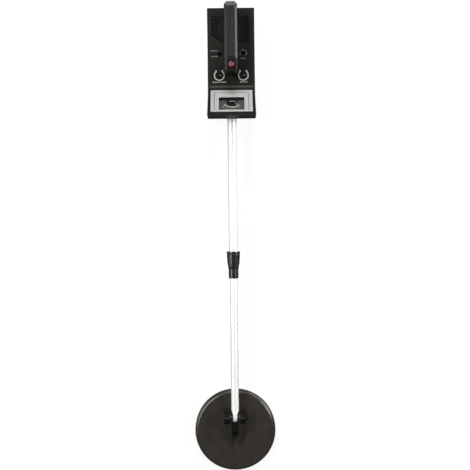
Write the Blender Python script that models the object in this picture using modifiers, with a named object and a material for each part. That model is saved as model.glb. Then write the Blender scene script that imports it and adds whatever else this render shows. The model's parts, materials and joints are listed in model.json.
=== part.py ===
"""A hobby metal detector: a control box with a handle, a telescopic stem and a tilting round search coil.

Metres, +Z up. It lies on its rubber feet and on its folded coil. +Y runs from the coil to the control
box, and the origin is on the floor at the middle of its length.
"""

import math

import bmesh
import bpy
from mathutils import Matrix, Vector

# Driving dimensions
HALF_LENGTH = 0.5776
GAP = 0.0003
STEM_Z = 0.044

COIL_RADIUS = 0.1016
COIL_HEIGHT = 0.022
COIL_Y = -HALF_LENGTH + COIL_RADIUS
COIL_WALL = 0.0025
PIVOT_Y = -0.4395
EAR_INNER_X = 0.0098
EAR_OUTER_X = 0.0128
EAR_RADIUS = 0.011
EAR_FRONT_Y = -0.5195
BOLT_RADIUS = 0.003
BOLT_HOLE_RADIUS = 0.0033
THUMB_RADIUS = 0.0155

LOWER_TUBE_RADIUS = 0.009525
UPPER_TUBE_RADIUS = 0.0111
TUBE_WALL = 0.0012
LOWER_TUBE_INNER_END_Y = 0.100
UPPER_TUBE_LOW_Y = -0.0588
UPPER_TUBE_HIGH_Y = 0.350
TUBE_END_HALF_WIDTH = 0.00625
COLLAR_HIGH_Y = -0.0235
COLLAR_LOW_Y = -0.0905

REAR_HALF_WIDTH = 0.0583
CASE_HALF_WIDTH = 0.0575
HUMP_HALF_WIDTH = 0.0592
CASE_WALL = 0.0025
CASE_REAR_Y = HALF_LENGTH
CASE_BOTTOM_Z = 0.003
PARTING_Z = 0.062
FACE_Z = 0.070
UNDER_FACE_Z = FACE_Z - CASE_WALL - GAP
HUMP_REAR_Y = 0.380
HUMP_FRONT_Y = 0.305
HUMP_TOP_Z = 0.1185
SCREW_PLACES = [(x, y) for x in (-0.046, 0.046) for y in (0.345, 0.555)]
SCREW_BORE_RADIUS = 0.00195
FOOT_PLACES = [(x, y) for x in (-0.044, 0.044) for y in (0.3335, 0.567)]

HANDLE_HALF_WIDTH = 0.016
HANDLE_STRIP_HALF_WIDTH = 0.01025
HANDLE_TOP_Z = 0.138
HANDLE_UNDER_Z = 0.112
HANDLE_FRONT_Y = 0.438
HANDLE_SCREW_PLACES = [(x, y) for x in (-0.008, 0.008) for y in (0.425, 0.5675)]
HANDLE_SCREW_BORE_RADIUS = 0.0018
WIRE_HOLE_RADIUS = 0.0030
WIRE_HOLE_Y = 0.425
SLOPE_LOW_Y = 0.409
SLOPE_LOW_Z = 0.1255

KNOB_X = 0.02975
KNOB_Y = 0.411
SWITCH_X = -0.0272
SWITCH_Y = 0.4655
JACK_X = 0.0299
JACK_Y = 0.4653
SPEAKER_Y = 0.524

HUMP_ANGLE = math.atan2(HUMP_TOP_Z - FACE_Z, HUMP_REAR_Y - HUMP_FRONT_Y)
BUTTON_ANGLE = math.atan2(HANDLE_TOP_Z - SLOPE_LOW_Z, HANDLE_FRONT_Y - SLOPE_LOW_Y)
PIVOT_PLACE = Vector((0, PIVOT_Y, STEM_Z))

# Placing matrices: side view outlines, turned pieces along the stem, the meter slope and the button
SIDE_VIEW = Matrix(((0, 0, 1, 0), (1, 0, 0, 0), (0, 1, 0, 0), (0, 0, 0, 1)))
ALONG_STEM = Matrix.Translation((0, 0, STEM_Z)) @ Matrix.Rotation(math.radians(-90), 4, "X")
ALONG_BOLT = Matrix.Translation(PIVOT_PLACE) @ Matrix.Rotation(math.radians(90), 4, "Y")
METER_SLOPE = Matrix.Translation((0, HUMP_REAR_Y, FACE_Z)) @ Matrix.Rotation(-HUMP_ANGLE, 4, "X")
BUTTON_PLACE = Matrix.Translation(
    (0, (HANDLE_FRONT_Y + SLOPE_LOW_Y) / 2, (HANDLE_TOP_Z + SLOPE_LOW_Z) / 2)
) @ Matrix.Rotation(BUTTON_ANGLE, 4, "X")


# Scene, materials and shape helpers


def clear_scene():
    for obj in list(bpy.data.objects):
        bpy.data.objects.remove(obj, do_unlink=True)


def new_collection(name):
    collection = bpy.data.collections.new(name)
    bpy.context.scene.collection.children.link(collection)
    return collection


def finish(name, colour, roughness, metallic=0.0):
    material = bpy.data.materials.new(name)
    material.use_nodes = True
    shader = material.node_tree.nodes["Principled BSDF"]
    shader.inputs["Base Color"].default_value = (*colour, 1.0)
    shader.inputs["Roughness"].default_value = roughness
    shader.inputs["Metallic"].default_value = metallic
    return material


def add(name, mesh, material=None, place=None):
    obj = bpy.data.objects.new(name, mesh)
    PARTS.objects.link(obj)
    obj.matrix_world = place if place is not None else Matrix.Identity(4)
    if material:
        mesh.materials.append(material)
    return obj


def mesh_of(name, shape):
    mesh = bpy.data.meshes.new(name)
    shape.to_mesh(mesh)
    shape.free()
    return mesh


def soften(obj, width, steps=2):
    bevel = obj.modifiers.new("Soft edges", "BEVEL")
    bevel.width = width
    bevel.segments = steps
    bevel.limit_method = "ANGLE"
    bevel.angle_limit = math.radians(40)
    return obj


def block(name, low, high, material=None, place=None):
    low, high = Vector(low), Vector(high)
    shape = bmesh.new()
    bmesh.ops.create_cube(shape, size=1.0)
    bmesh.ops.scale(shape, vec=high - low, verts=shape.verts)
    centre = Matrix.Translation((low + high) / 2)
    return add(name, mesh_of(name, shape), material, place @ centre if place is not None else centre)


def rod(name, start, end, radius, material=None, sides=24):
    start, end = Vector(start), Vector(end)
    shape = bmesh.new()
    bmesh.ops.create_cone(
        shape, cap_ends=True, segments=sides, radius1=radius, radius2=radius, depth=(end - start).length
    )
    turn = (end - start).to_track_quat("Z", "Y").to_matrix().to_4x4()
    return add(name, mesh_of(name, shape), material, Matrix.Translation((start + end) / 2) @ turn)


def turned(name, profile, place, material=None, sides=32):
    """Turns (radius, height) points about place's Z axis. They run down the outer side."""
    mesh = bpy.data.meshes.new(name)
    last = len(profile) - 1
    edges = [(i, i + 1) for i in range(last)]
    if profile[0][0] > 0:
        edges.append((last, 0))
    mesh.from_pydata([(radius, 0, height) for radius, height in profile], edges, [])
    obj = add(name, mesh, material, place)
    screw = obj.modifiers.new("Turn", "SCREW")
    screw.steps = sides
    screw.render_steps = sides
    screw.use_merge_vertices = True
    screw.merge_threshold = 0.00001
    return obj


def plate(name, outline, low, high, material=None, place=SIDE_VIEW):
    """A flat outline with its thickness from low to high along place's Z axis."""
    curve = bpy.data.curves.new(name, "CURVE")
    curve.dimensions = "2D"
    curve.fill_mode = "BOTH"
    curve.extrude = (high - low) / 2
    spline = curve.splines.new("POLY")
    spline.points.add(len(outline) - 1)
    for point, (x, y) in zip(spline.points, outline):
        point.co = (x, y, 0, 1)
    spline.use_cyclic_u = True
    guide = bpy.data.objects.new(name + "_outline", curve)
    PARTS.objects.link(guide)
    graph = bpy.context.evaluated_depsgraph_get()
    mesh = bpy.data.meshes.new_from_object(guide.evaluated_get(graph))
    bpy.data.objects.remove(guide)
    shape = bmesh.new()
    shape.from_mesh(mesh)
    bmesh.ops.remove_doubles(shape, verts=shape.verts, dist=0.000001)
    bmesh.ops.dissolve_limit(shape, angle_limit=0.01, verts=shape.verts, edges=shape.edges)
    bmesh.ops.recalc_face_normals(shape, faces=shape.faces)
    return add(name, mesh_of(name, shape), material, place @ Matrix.Translation((0, 0, (low + high) / 2)))


def loft(name, rings, material=None):
    """A closed skin over rings that all have the same number of points."""
    shape = bmesh.new()
    loops = [[shape.verts.new(point) for point in ring] for ring in rings]
    for near, far in zip(loops, loops[1:]):
        for i in range(len(near)):
            j = (i + 1) % len(near)
            shape.faces.new((near[i], near[j], far[j], far[i]))
    shape.faces.new(loops[0])
    shape.faces.new(loops[-1])
    bmesh.ops.recalc_face_normals(shape, faces=shape.faces)
    return add(name, mesh_of(name, shape), material)


def helper(obj):
    """Takes a cutter or a joined shape out of the parts."""
    if obj.name in PARTS.objects:
        PARTS.objects.unlink(obj)
        HELPERS.objects.link(obj)
    obj.hide_render = True
    obj.display_type = "WIRE"
    return obj


def boolean(obj, others, operation):
    for other in others:
        modifier = obj.modifiers.new(operation.title(), "BOOLEAN")
        modifier.operation = operation
        modifier.solver = "EXACT"
        modifier.object = helper(other)
    return obj


def cut(obj, *cutters):
    return boolean(obj, cutters, "DIFFERENCE")


def join(obj, *others):
    return boolean(obj, others, "UNION")


def arc(centre, radius, start, end, steps):
    angles = [math.radians(start + (end - start) * i / steps) for i in range(steps + 1)]
    return [(centre[0] + radius * math.cos(a), centre[1] + radius * math.sin(a)) for a in angles]


def scallops(radius, depth, lobes, points_per_lobe=6):
    count = lobes * points_per_lobe
    outline = []
    for i in range(count):
        angle = 2 * math.pi * i / count
        r = radius - depth * (1 - math.cos(lobes * angle)) / 2
        outline.append((r * math.cos(angle), r * math.sin(angle)))
    return outline


def pivot(name, place, *pieces):
    """An empty on a joint's axis, with the pieces that move with it as its children."""
    empty = bpy.data.objects.new(name, None)
    PARTS.objects.link(empty)
    empty.location = place
    for piece in pieces:
        piece.parent = empty
        piece.location -= empty.location
    return empty


# Search coil


def coil_shell():
    top, wall, edge = COIL_HEIGHT, COIL_WALL, 0.004
    base, r = 0.005, COIL_RADIUS
    profile = [(0, top), (r - 0.0065, top), (r - 0.0068, top - 0.0006), (r - edge, top - 0.0006)]
    profile += arc((r - edge, top - 0.0006 - edge), edge, 60, 0, 2)
    profile += [(r, base), (r - wall, base), (r - wall, top - edge - wall), (r - 0.006, top - wall)]
    profile += [(0, top - wall)]
    shell = turned("coil_shell", profile, Matrix.Translation((0, COIL_Y, 0)), BLACK_BROWN, 48)
    to_point = Vector((EAR_FRONT_Y - PIVOT_Y, COIL_HEIGHT - STEM_Z))
    tangent = 180 + math.degrees(math.atan2(-to_point.y, -to_point.x))
    tangent -= math.degrees(math.acos(EAR_RADIUS / to_point.length))
    foot = COIL_HEIGHT - 0.0015
    outline = [(PIVOT_Y + EAR_RADIUS, foot)] + arc((PIVOT_Y, STEM_Z), EAR_RADIUS, 0, tangent, 6)
    outline += [(EAR_FRONT_Y, COIL_HEIGHT + 0.0004), (EAR_FRONT_Y, foot)]
    for side, low, high in (("left", -EAR_OUTER_X, -EAR_INNER_X), ("right", EAR_INNER_X, EAR_OUTER_X)):
        join(shell, plate(f"ear_{side}", outline, low, high))
    return cut(shell, rod("ear_bore", (-0.02, PIVOT_Y, STEM_Z), (0.02, PIVOT_Y, STEM_Z), BOLT_HOLE_RADIUS))


def coil_inside():
    r, lip = COIL_RADIUS, 0.0031
    cover = turned(
        "coil_cover",
        [(0, 0.003), (r - 0.0055, 0.003), (r - 0.0055, 0.0075), (r - lip, 0.0075), (r - lip, 0.0047)]
        + [(r, 0.0047), (r, 0.0015), (r - 0.0015, 0), (0, 0)],
        Matrix.Translation((0, COIL_Y, 0)),
        BLACK_BROWN,
        48,
    )
    place = Matrix.Translation((0, COIL_Y, 0))
    rings = [("transmit_winding", 0.087, 0.094, 0.0125), ("receive_winding", 0.046, 0.052, 0.010)]
    windings = []
    for name, inner, outer, top in rings:
        base, edge = 0.0033, 0.0015
        profile = [(inner + edge, top), (outer - edge, top), (outer, top - edge), (outer, base)]
        profile += [(inner, base), (inner, top - edge)]
        windings.append(turned(name, profile, place, COPPER, 36))
    grommet = turned(
        "lead_grommet",
        [(0.0022, 0.0285), (0.0035, 0.0285), (0.0042, 0.0250), (0.0060, 0.0245), (0.0060, 0.0223)]
        + [(0.0022, 0.0223)],
        Matrix.Translation((0, -0.486, 0)),
        RUBBER,
        16,
    )
    return [cover, *windings, grommet]


def yoke_hardware():
    pieces = []
    for side, sign in (("left", -1), ("right", 1)):
        near, far = sorted((sign * (TUBE_END_HALF_WIDTH + GAP), sign * (EAR_INNER_X - GAP)))
        outer, bore = 0.0056, BOLT_HOLE_RADIUS
        profile = [(bore, far), (outer, far), (outer, near), (bore, near)]
        pieces.append(turned(f"washer_{side}", profile, ALONG_BOLT, RUBBER, 24))
    outline = scallops(THUMB_RADIUS, 0.0016, 8)
    head_low, head_high, shaft_end = -0.0278, -EAR_OUTER_X - GAP, 0.0314
    bolt = soften(plate("tilt_bolt", outline, head_low, head_high, BLACK, ALONG_BOLT), 0.001, 1)
    shaft = rod("bolt_shaft", PIVOT_PLACE + Vector((-0.018, 0, 0)), PIVOT_PLACE + Vector((shaft_end, 0, 0)),
                BOLT_RADIUS)
    pieces.append(join(bolt, shaft))
    nut = soften(plate("thumb_nut", outline, EAR_OUTER_X + GAP, 0.0255, BLACK, ALONG_BOLT), 0.001, 1)
    boss_radius, boss_end = 0.0075, 0.029
    boss = rod("nut_boss", PIVOT_PLACE + Vector((0.02, 0, 0)), PIVOT_PLACE + Vector((boss_end, 0, 0)),
               boss_radius)
    join(nut, boss)
    cut(nut, rod("nut_bore", PIVOT_PLACE + Vector((0.01, 0, 0)), PIVOT_PLACE + Vector((0.035, 0, 0)),
                 BOLT_HOLE_RADIUS))
    return pieces, nut


# Stem


def lower_tube():
    """A round tube whose far end is pressed flat and rounded about the tilt bolt."""
    r, flat = LOWER_TUBE_RADIUS, TUBE_END_HALF_WIDTH
    stations = [(LOWER_TUBE_INNER_END_Y, r, r, 1.0), (PIVOT_Y + 0.0210, r, r, 1.0)]
    stations += [(PIVOT_Y + 0.0135, 0.0078, 0.0101, 0.8), (PIVOT_Y + 0.0060, flat, 0.0106, 0.55)]
    stations += [(PIVOT_Y - 0.0010, flat, 0.0104, 0.55), (PIVOT_Y - 0.0050, flat, 0.0090, 0.55)]
    stations += [(PIVOT_Y - 0.0080, flat, 0.0062, 0.55), (PIVOT_Y - 0.0095, flat - 0.0006, 0.0028, 0.6)]
    rings = []
    for y, half_width, half_height, fullness in stations:
        ring = []
        for i in range(32):
            angle = 2 * math.pi * i / 32
            side = math.copysign(abs(math.cos(angle)) ** fullness, math.cos(angle))
            ring.append((half_width * side, y, STEM_Z + half_height * math.sin(angle)))
        rings.append(ring)
    tube = loft("lower_tube", rings, SATIN_ALUMINIUM)
    bore = rod("lower_bore", (0, PIVOT_Y + 0.0280, STEM_Z), (0, 0.102, STEM_Z), r - TUBE_WALL, sides=32)
    hole = rod("pivot_bore", (-0.02, PIVOT_Y, STEM_Z), (0.02, PIVOT_Y, STEM_Z), BOLT_HOLE_RADIUS)
    return cut(tube, bore, hole)


def guide_bush():
    end, plug = LOWER_TUBE_INNER_END_Y, LOWER_TUBE_RADIUS - TUBE_WALL - GAP
    flange, lead = UPPER_TUBE_RADIUS - TUBE_WALL - 0.0002, 0.004
    profile = [(lead, end + 0.006), (flange - 0.001, end + 0.006), (flange, end + 0.005)]
    profile += [(flange, end + GAP), (plug, end + GAP), (plug, end - 0.018), (lead, end - 0.018)]
    return turned("guide_bush", profile, ALONG_STEM, NYLON)


def upper_tube():
    inner, outer = UPPER_TUBE_RADIUS - TUBE_WALL, UPPER_TUBE_RADIUS
    low, high = UPPER_TUBE_LOW_Y, UPPER_TUBE_HIGH_Y
    profile = [(inner, high), (outer, high), (outer, low), (inner, low)]
    return turned("upper_tube", profile, ALONG_STEM, SATIN_ALUMINIUM)


def collar():
    high, low = COLLAR_HIGH_Y, COLLAR_LOW_Y
    rim, waist, tail = 0.01675, 0.0139, 0.0123
    profile = [(0.0115, high), (rim - 0.0012, high), (rim, high - 0.001), (rim, high - 0.006)]
    profile += [(rim - 0.0008, high - 0.0068), (rim - 0.0005, high - 0.008), (0.0148, high - 0.032)]
    profile += [(waist, high - 0.0328), (waist, high - 0.037), (tail, high - 0.044)]
    profile += [(tail, low + 0.0015), (tail - 0.0010, low), (0.0099, low), (0.0099, low + 0.0025)]
    profile += [(0.0112, low + 0.003), (0.0112, low + 0.0305), (0.0130, low + 0.032)]
    profile += [(0.0130, high - 0.0022), (0.0115, high - 0.0022)]
    return turned("collar", profile, ALONG_STEM, BLACK, 32)


def collar_inside():
    inner, ridge, root = UPPER_TUBE_RADIUS + GAP, 0.0127, 0.0123
    low, high, pitch = COLLAR_LOW_Y + 0.0340, COLLAR_HIGH_Y - 0.0040, 0.0080
    profile = [(inner, high), (root, high)]
    for i in range(3):
        y = high - 0.003 - i * pitch
        profile += [(root, y), (ridge, y - 0.0012), (ridge, y - 0.0024), (root, y - 0.0036)]
    profile += [(root, low), (inner, low)]
    bush = turned("threaded_bush", profile, ALONG_STEM, NYLON, 20)
    inside, outside = 0.00985, 0.0108
    near, far = COLLAR_LOW_Y + 0.0040, COLLAR_LOW_Y + 0.0311
    profile = [(inside, far), (outside, far), (outside, near + 0.0040), (outside - 0.0004, near)]
    collet = turned("split_collet", profile + [(inside, near)], ALONG_STEM, NYLON, 28)
    slit, slit_low, slit_high = 0.0008, near - 0.0020, near + 0.0180
    cut(collet, block("slit_upright", (-slit, slit_low, 0.020), (slit, slit_high, 0.070)),
        block("slit_level", (-0.02, slit_low, STEM_Z - slit), (0.02, slit_high, STEM_Z + slit)))
    return [bush, collet]


# Control box


def case_ring(y, half_width, low, high):
    return [(-half_width, y, low), (half_width, y, low), (half_width, y, high), (-half_width, y, high)]


def grille_slits():
    """Slanting slits over the speaker, clipped to its rectangle and bare in one corner."""
    left, right, front, rear = -0.049, 0.0445, 0.491, 0.557
    pitch, width, shortest = 0.0085, 0.003, 0.006
    first_sum = left + 0.011 + front + 0.014
    shape = bmesh.new()
    for i in range(int((right + rear - first_sum) / pitch) + 1):
        total = first_sum + i * pitch
        x0, x1 = max(left, total - rear), min(right, total - front)
        if x1 - x0 < shortest:
            continue
        middle = (x0 + x1) / 2
        size = Matrix.Diagonal(((x1 - x0) * math.sqrt(2), width, 0.008, 1))
        place = Matrix.Translation((middle, total - middle, FACE_Z - 0.001))
        bmesh.ops.create_cube(shape, matrix=place @ Matrix.Rotation(math.radians(-45), 4, "Z") @ size)
    return add("grille_slits", mesh_of("grille_slits", shape))


def top_case():
    rear_w, w, hump_w, wall = REAR_HALF_WIDTH, CASE_HALF_WIDTH, HUMP_HALF_WIDTH, CASE_WALL
    outer = [case_ring(CASE_REAR_Y, rear_w, PARTING_Z, FACE_Z), case_ring(HUMP_REAR_Y, w, PARTING_Z, FACE_Z),
             case_ring(HUMP_FRONT_Y, hump_w, PARTING_Z, HUMP_TOP_Z)]
    case = soften(loft("top_case", outer, BLACK_PANEL), 0.0015, 1)
    drop = wall / math.cos(HUMP_ANGLE)
    shift = wall * math.tan(HUMP_ANGLE)
    inner = [case_ring(CASE_REAR_Y - wall, rear_w - wall, PARTING_Z - 0.005, FACE_Z - wall)]
    inner += [case_ring(HUMP_REAR_Y - wall * math.tan(HUMP_ANGLE / 2), w - wall, PARTING_Z - 0.005,
                        FACE_Z - wall)]
    inner += [case_ring(HUMP_FRONT_Y + wall, hump_w - wall, PARTING_Z - 0.005, HUMP_TOP_Z - drop - shift)]
    cut(case, loft("case_hollow", inner))
    for i, (x, y) in enumerate(SCREW_PLACES):
        top = FACE_Z - 0.001 if y > HUMP_REAR_Y else 0.089
        join(case, rod(f"upper_pillar_{i}", (x, y, PARTING_Z - GAP), (x, y, top), 0.0042, sides=12))
        cut(case, rod(f"upper_pillar_bore_{i}", (x, y, PARTING_Z - 0.002), (x, y, UNDER_FACE_Z),
                      SCREW_BORE_RADIUS, sides=12))
    cut(case, grille_slits())
    for side in (-1, 1):
        x = side * KNOB_X
        cut(case, rod(f"shaft_hole_{side}", (x, KNOB_Y, 0.060), (x, KNOB_Y, 0.075), 0.0036, sides=16))
    cut(case, rod("jack_hole", (JACK_X, JACK_Y, 0.060), (JACK_X, JACK_Y, 0.075), 0.0063, sides=16))
    cut(case, rod("button_wire_hole", (0, WIRE_HOLE_Y, 0.060), (0, WIRE_HOLE_Y, 0.075), WIRE_HOLE_RADIUS,
                  sides=12))
    for i, (x, y) in enumerate(HANDLE_SCREW_PLACES):
        cut(case, rod(f"handle_screw_hole_{i}", (x, y, 0.060), (x, y, 0.075), HANDLE_SCREW_BORE_RADIUS,
                      sides=12))
    cut(case, block("switch_slot", (SWITCH_X - 0.0047, SWITCH_Y - 0.0062, 0.060),
                    (SWITCH_X + 0.0047, SWITCH_Y + 0.0062, 0.075)))
    return cut(case, block("meter_cutout", (-0.0333, -0.0768, -0.012), (0.0333, -0.0307, 0.004),
                           place=METER_SLOPE))


def bottom_case():
    high, low, wall = PARTING_Z - GAP, CASE_BOTTOM_Z, CASE_WALL

    def ring(z, half_front, half_rear, front, rear):
        return [(-half_front, front, z), (half_front, front, z), (half_rear, rear, z), (-half_rear, rear, z)]

    outer = [ring(low, 0.0555, 0.0540, 0.326, 0.574),
             ring(high, HUMP_HALF_WIDTH - GAP, REAR_HALF_WIDTH, HUMP_FRONT_Y + 0.002, CASE_REAR_Y)]
    inner = [ring(low + wall, 0.0530, 0.0515, 0.326 + wall, 0.574 - wall),
             ring(high + 0.001, HUMP_HALF_WIDTH - wall, REAR_HALF_WIDTH - wall, HUMP_FRONT_Y + 0.002 + wall,
                  CASE_REAR_Y - wall)]
    case = soften(loft("bottom_case", outer, BLACK_PANEL), 0.0015, 1)
    cut(case, loft("bottom_hollow", inner))
    join(case, rod("stem_boss", (0, 0.3085, STEM_Z), (0, 0.3200, STEM_Z), 0.0152, sides=32))
    cut(case, rod("stem_hole", (0, 0.295, STEM_Z), (0, 0.328, STEM_Z), UPPER_TUBE_RADIUS + 0.0004, sides=32))
    for i, (x, y) in enumerate(SCREW_PLACES):
        join(case, rod(f"pillar_{i}", (x, y, 0.0045), (x, y, high - GAP), 0.0045, sides=12))
        cut(case, rod(f"screw_hole_{i}", (x, y, 0), (x, y, 0.065), SCREW_BORE_RADIUS, sides=12))
        cut(case, rod(f"counterbore_{i}", (x, y, 0), (x, y, 0.008), 0.0036, sides=12))
    return cut(case, block("door_opening", (-0.0300, 0.4825, 0), (0.0300, 0.5425, 0.010)))


def case_fittings():
    pieces = []
    places = ("front_left", "rear_left", "front_right", "rear_right")
    for name, (x, y) in zip(places, SCREW_PLACES):
        profile = [(0, 0.0665), (0.0016, 0.0665), (0.0016, 0.0077), (0.0033, 0.0077), (0.0033, 0.0052)]
        place = Matrix.Translation((x, y, 0))
        pieces.append(turned(f"case_screw_{name}", profile + [(0, 0.0052)], place, STEEL, 12))
    for name, (x, y) in zip(places, FOOT_PLACES):
        top = CASE_BOTTOM_Z - GAP
        profile = [(0, top), (0.006, top), (0.006, 0.0008), (0.0052, 0), (0, 0)]
        pieces.append(turned(f"foot_{name}", profile, Matrix.Translation((x, y, 0)), RUBBER, 20))
    for name, (x, y) in zip(places, HANDLE_SCREW_PLACES):
        profile = [(0, 0.080), (0.0015, 0.080), (0.0015, UNDER_FACE_Z), (0.003, UNDER_FACE_Z)]
        profile += [(0.003, 0.0647), (0, 0.0647)]
        place = Matrix.Translation((x, y, 0))
        pieces.append(turned(f"handle_screw_{name}", profile, place, STEEL, 12))
    clamp = block("stem_clamp", (-0.018, 0.330, 0.030), (0.018, 0.348, 0.058), BLACK)
    bore = rod("clamp_bore", (0, 0.320, STEM_Z), (0, 0.360, STEM_Z), UPPER_TUBE_RADIUS + 0.0004, sides=32)
    pieces.append(cut(clamp, bore))
    return pieces


def battery_bay():
    tray = block("battery_tray", (-0.033, 0.480, 0.0058), (0.033, 0.545, 0.0275), BLACK)
    cut(tray, block("tray_hollow", (-0.031, 0.482, 0), (0.031, 0.543, 0.0257)))
    pieces = [tray]
    for side, low in (("front", 0.4840), ("rear", 0.5130)):
        long, wide, base, top = 0.0485, 0.0265, 0.0075, 0.0250
        cell = block(f"battery_{side}", (-0.0265, low, base), (long - 0.0265, low + wide, top), STEEL)
        pieces.append(soften(cell, 0.0015))
    door = block("battery_door", (-0.0297, 0.4828, CASE_BOTTOM_Z), (0.0297, 0.5422, 0.005), BLACK_PANEL)
    return pieces, soften(door, 0.0005, 1)


def inner_parts():
    board = block("main_board", (-0.038, 0.355, 0.028), (0.038, 0.478, 0.0296), BOARD_GREEN)
    place = Matrix.Translation((0, SPEAKER_Y, 0))
    basket = [(0.026, UNDER_FACE_Z), (0.033, UNDER_FACE_Z), (0.033, 0.0650), (0.030, 0.0640), (0.018, 0.0525)]
    basket += [(0.006, 0.0525), (0.006, 0.0540), (0.0165, 0.0540), (0.0260, 0.0630)]
    cone = [(0, 0.0590), (0.007, 0.0575), (0.0255, 0.0668), (0.0257, 0.0660), (0.0080, 0.0562), (0, 0.0562)]
    magnet = [(0, 0.0530), (0.016, 0.0530), (0.016, 0.0420), (0, 0.0420)]
    frame = turned("speaker_basket", basket, place, STEEL, 28)
    pieces = [board, join(frame, turned("speaker_magnet", magnet, place, sides=28))]
    pieces.append(turned("speaker_cone", cone, place, PAPER, 28))
    for side, x in (("left", -KNOB_X), ("right", KNOB_X)):
        place = Matrix.Translation((x, KNOB_Y, 0))
        profile = [(0.0032, 0.0668), (0.0050, 0.0668), (0.0050, 0.0630), (0.0080, 0.0625), (0.0080, 0.0520)]
        pieces.append(turned(f"{side}_potentiometer", profile + [(0.0032, 0.0520)], place, STEEL, 20))
    place = Matrix.Translation((JACK_X, JACK_Y, 0))
    profile = [(0.0034, 0.0724), (0.0055, 0.0724), (0.0059, 0.0718), (0.0059, UNDER_FACE_Z)]
    profile += [(0.0080, UNDER_FACE_Z), (0.0080, 0.0440), (0.0034, 0.0440)]
    pieces.append(turned("headphone_jack", profile, place, BLACK, 20))
    nut = [(0.0064, 0.0722), (0.0085, 0.0722), (0.0095, 0.0712), (0.0095, FACE_Z + GAP)]
    pieces.append(turned("jack_nut", nut + [(0.0064, FACE_Z + GAP)], place, CHROME, 20))
    low = (SWITCH_X - 0.006, SWITCH_Y - 0.010, 0.052)
    pieces.append(block("switch_body", low, (SWITCH_X + 0.006, SWITCH_Y + 0.010, 0.0635), STEEL))
    return pieces


# Meter, on the sloping front of the hump. Its local Y axis runs down the slope.


def meter():
    place = METER_SLOPE
    base, top = GAP, 0.0035
    bezel = block("meter_bezel", (-0.051, -0.080, base), (0.051, -0.008, top), SILVER, place)
    soften(bezel, 0.0008, 1)
    cut(bezel, block("window_opening", (-0.031, -0.0745, -0.001), (0.031, -0.033, 0.006), place=place))
    edge, half_groove, floor = 0.0085, 0.0008, top - 0.0010
    rear = -0.008 - edge
    cut(bezel, block("groove_rear", (-0.051 + edge - half_groove, rear - half_groove, floor),
                     (0.051 - edge + half_groove, rear + half_groove, 0.006), place=place))
    for side in (-1, 1):
        x = side * (0.051 - edge)
        cut(bezel, block(f"groove_{side}", (x - half_groove, -0.0775, floor),
                         (x + half_groove, rear + half_groove / 2, 0.006), place=place))
    case = block("meter_case", (-0.033, -0.0765, -0.013), (0.033, -0.031, 0), BLACK, place)
    cut(case, block("meter_hollow", (-0.0312, -0.0747, -0.0115), (0.0312, -0.0328, 0.002), place=place))
    window = block("meter_window", (-0.0307, -0.0742, 0.0009), (0.0307, -0.0333, 0.0024), CLEAR, place)
    dial = block("meter_dial", (-0.0309, -0.0744, -0.0070), (0.0309, -0.0331, -0.0062), DIAL, place)
    cover = block("meter_pivot_cover", (-0.0145, -0.0450, -0.0035), (0.0145, -0.0335, -0.0010), BLACK, place)
    movement = rod("meter_movement", place @ Vector((0, -0.0430, -0.0112)),
                   place @ Vector((0, -0.0430, -0.0073)), 0.009, STEEL)
    return [bezel, case, window, dial, soften(cover, 0.0008, 1), movement]


def meter_needle():
    hub_y, length, tail, width = -0.0365, 0.0275, 0.0027, 0.0008
    hub = rod("meter_needle", METER_SLOPE @ Vector((0, hub_y, -0.0059)),
              METER_SLOPE @ Vector((0, hub_y, -0.0040)), 0.0018, NEEDLE, 16)
    place = METER_SLOPE @ Matrix.Translation((0, hub_y, 0)) @ Matrix.Rotation(math.radians(45), 4, "Z")
    pointer = block("pointer", (-width / 2, -length, -0.0050), (width / 2, tail, -0.0044), place=place)
    return join(hub, pointer), METER_SLOPE @ Vector((0, hub_y, -0.0045))


# Handle


def handle_outline(inset):
    """Side view of the handle, with its outer line moved in by inset and its finger gap left as it is."""
    floor, top, under = FACE_Z + GAP, HANDLE_TOP_Z - inset, HANDLE_UNDER_Z
    side = inset / 2
    outer = [(0.577 - side, floor), (0.574 - side, 0.128 - inset), (0.570 - side, 0.135 - inset)]
    outer += [(0.563 - side, top), (HANDLE_FRONT_Y + side, top), (SLOPE_LOW_Y + side, SLOPE_LOW_Z - inset)]
    outer += [(0.413 + side, floor)]
    inner = [(0.437, floor), (0.437, 0.104), (0.4393, 0.1097), (0.445, under), (0.550, under)]
    inner += [(0.5557, 0.1097), (0.558, 0.104), (0.558, floor)]
    return outer + inner


def handle():
    cavity_outline = [(0.4165, 0.084), (0.4128, 0.1228), (0.4398, 0.1345), (0.5560, 0.1345), (0.5560, 0.120)]
    cavity_outline += [(0.5500, 0.1150), (0.4430, 0.1150), (0.4335, 0.1060), (0.4335, 0.084)]
    halves = []
    for side, sign in (("left", -1), ("right", 1)):
        steps = [(GAP / 2, 0), (HANDLE_STRIP_HALF_WIDTH, 0), (HANDLE_HALF_WIDTH, 0.007)]
        rings = [[(sign * x, y, z) for y, z in handle_outline(inset)] for x, inset in steps]
        half = loft(f"handle_{side}", rings, BLACK_PANEL)
        cut(half, plate(f"cavity_{side}", cavity_outline, -0.0125, 0.0125))
        cut(half, block(f"cap_notch_{side}", (-0.0132, 0.5603, 0.128), (0.0132, 0.580, 0.150)))
        cut(half, rod(f"button_hole_{side}", BUTTON_PLACE @ Vector((0, 0, -0.008)),
                      BUTTON_PLACE @ Vector((0, 0, 0.008)), 0.0098, sides=28))
        cut(half, rod(f"wire_hole_{side}", (0, WIRE_HOLE_Y, 0.066), (0, WIRE_HOLE_Y, 0.088), WIRE_HOLE_RADIUS,
                      sides=12))
        for i, (x, y) in enumerate(HANDLE_SCREW_PLACES):
            if x * sign > 0:
                bore = rod(f"handle_bore_{side}_{i}", (x, y, 0.066), (x, y, 0.0805),
                           HANDLE_SCREW_BORE_RADIUS, sides=12)
                cut(half, bore)
        halves.append(half)
    return halves


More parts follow.
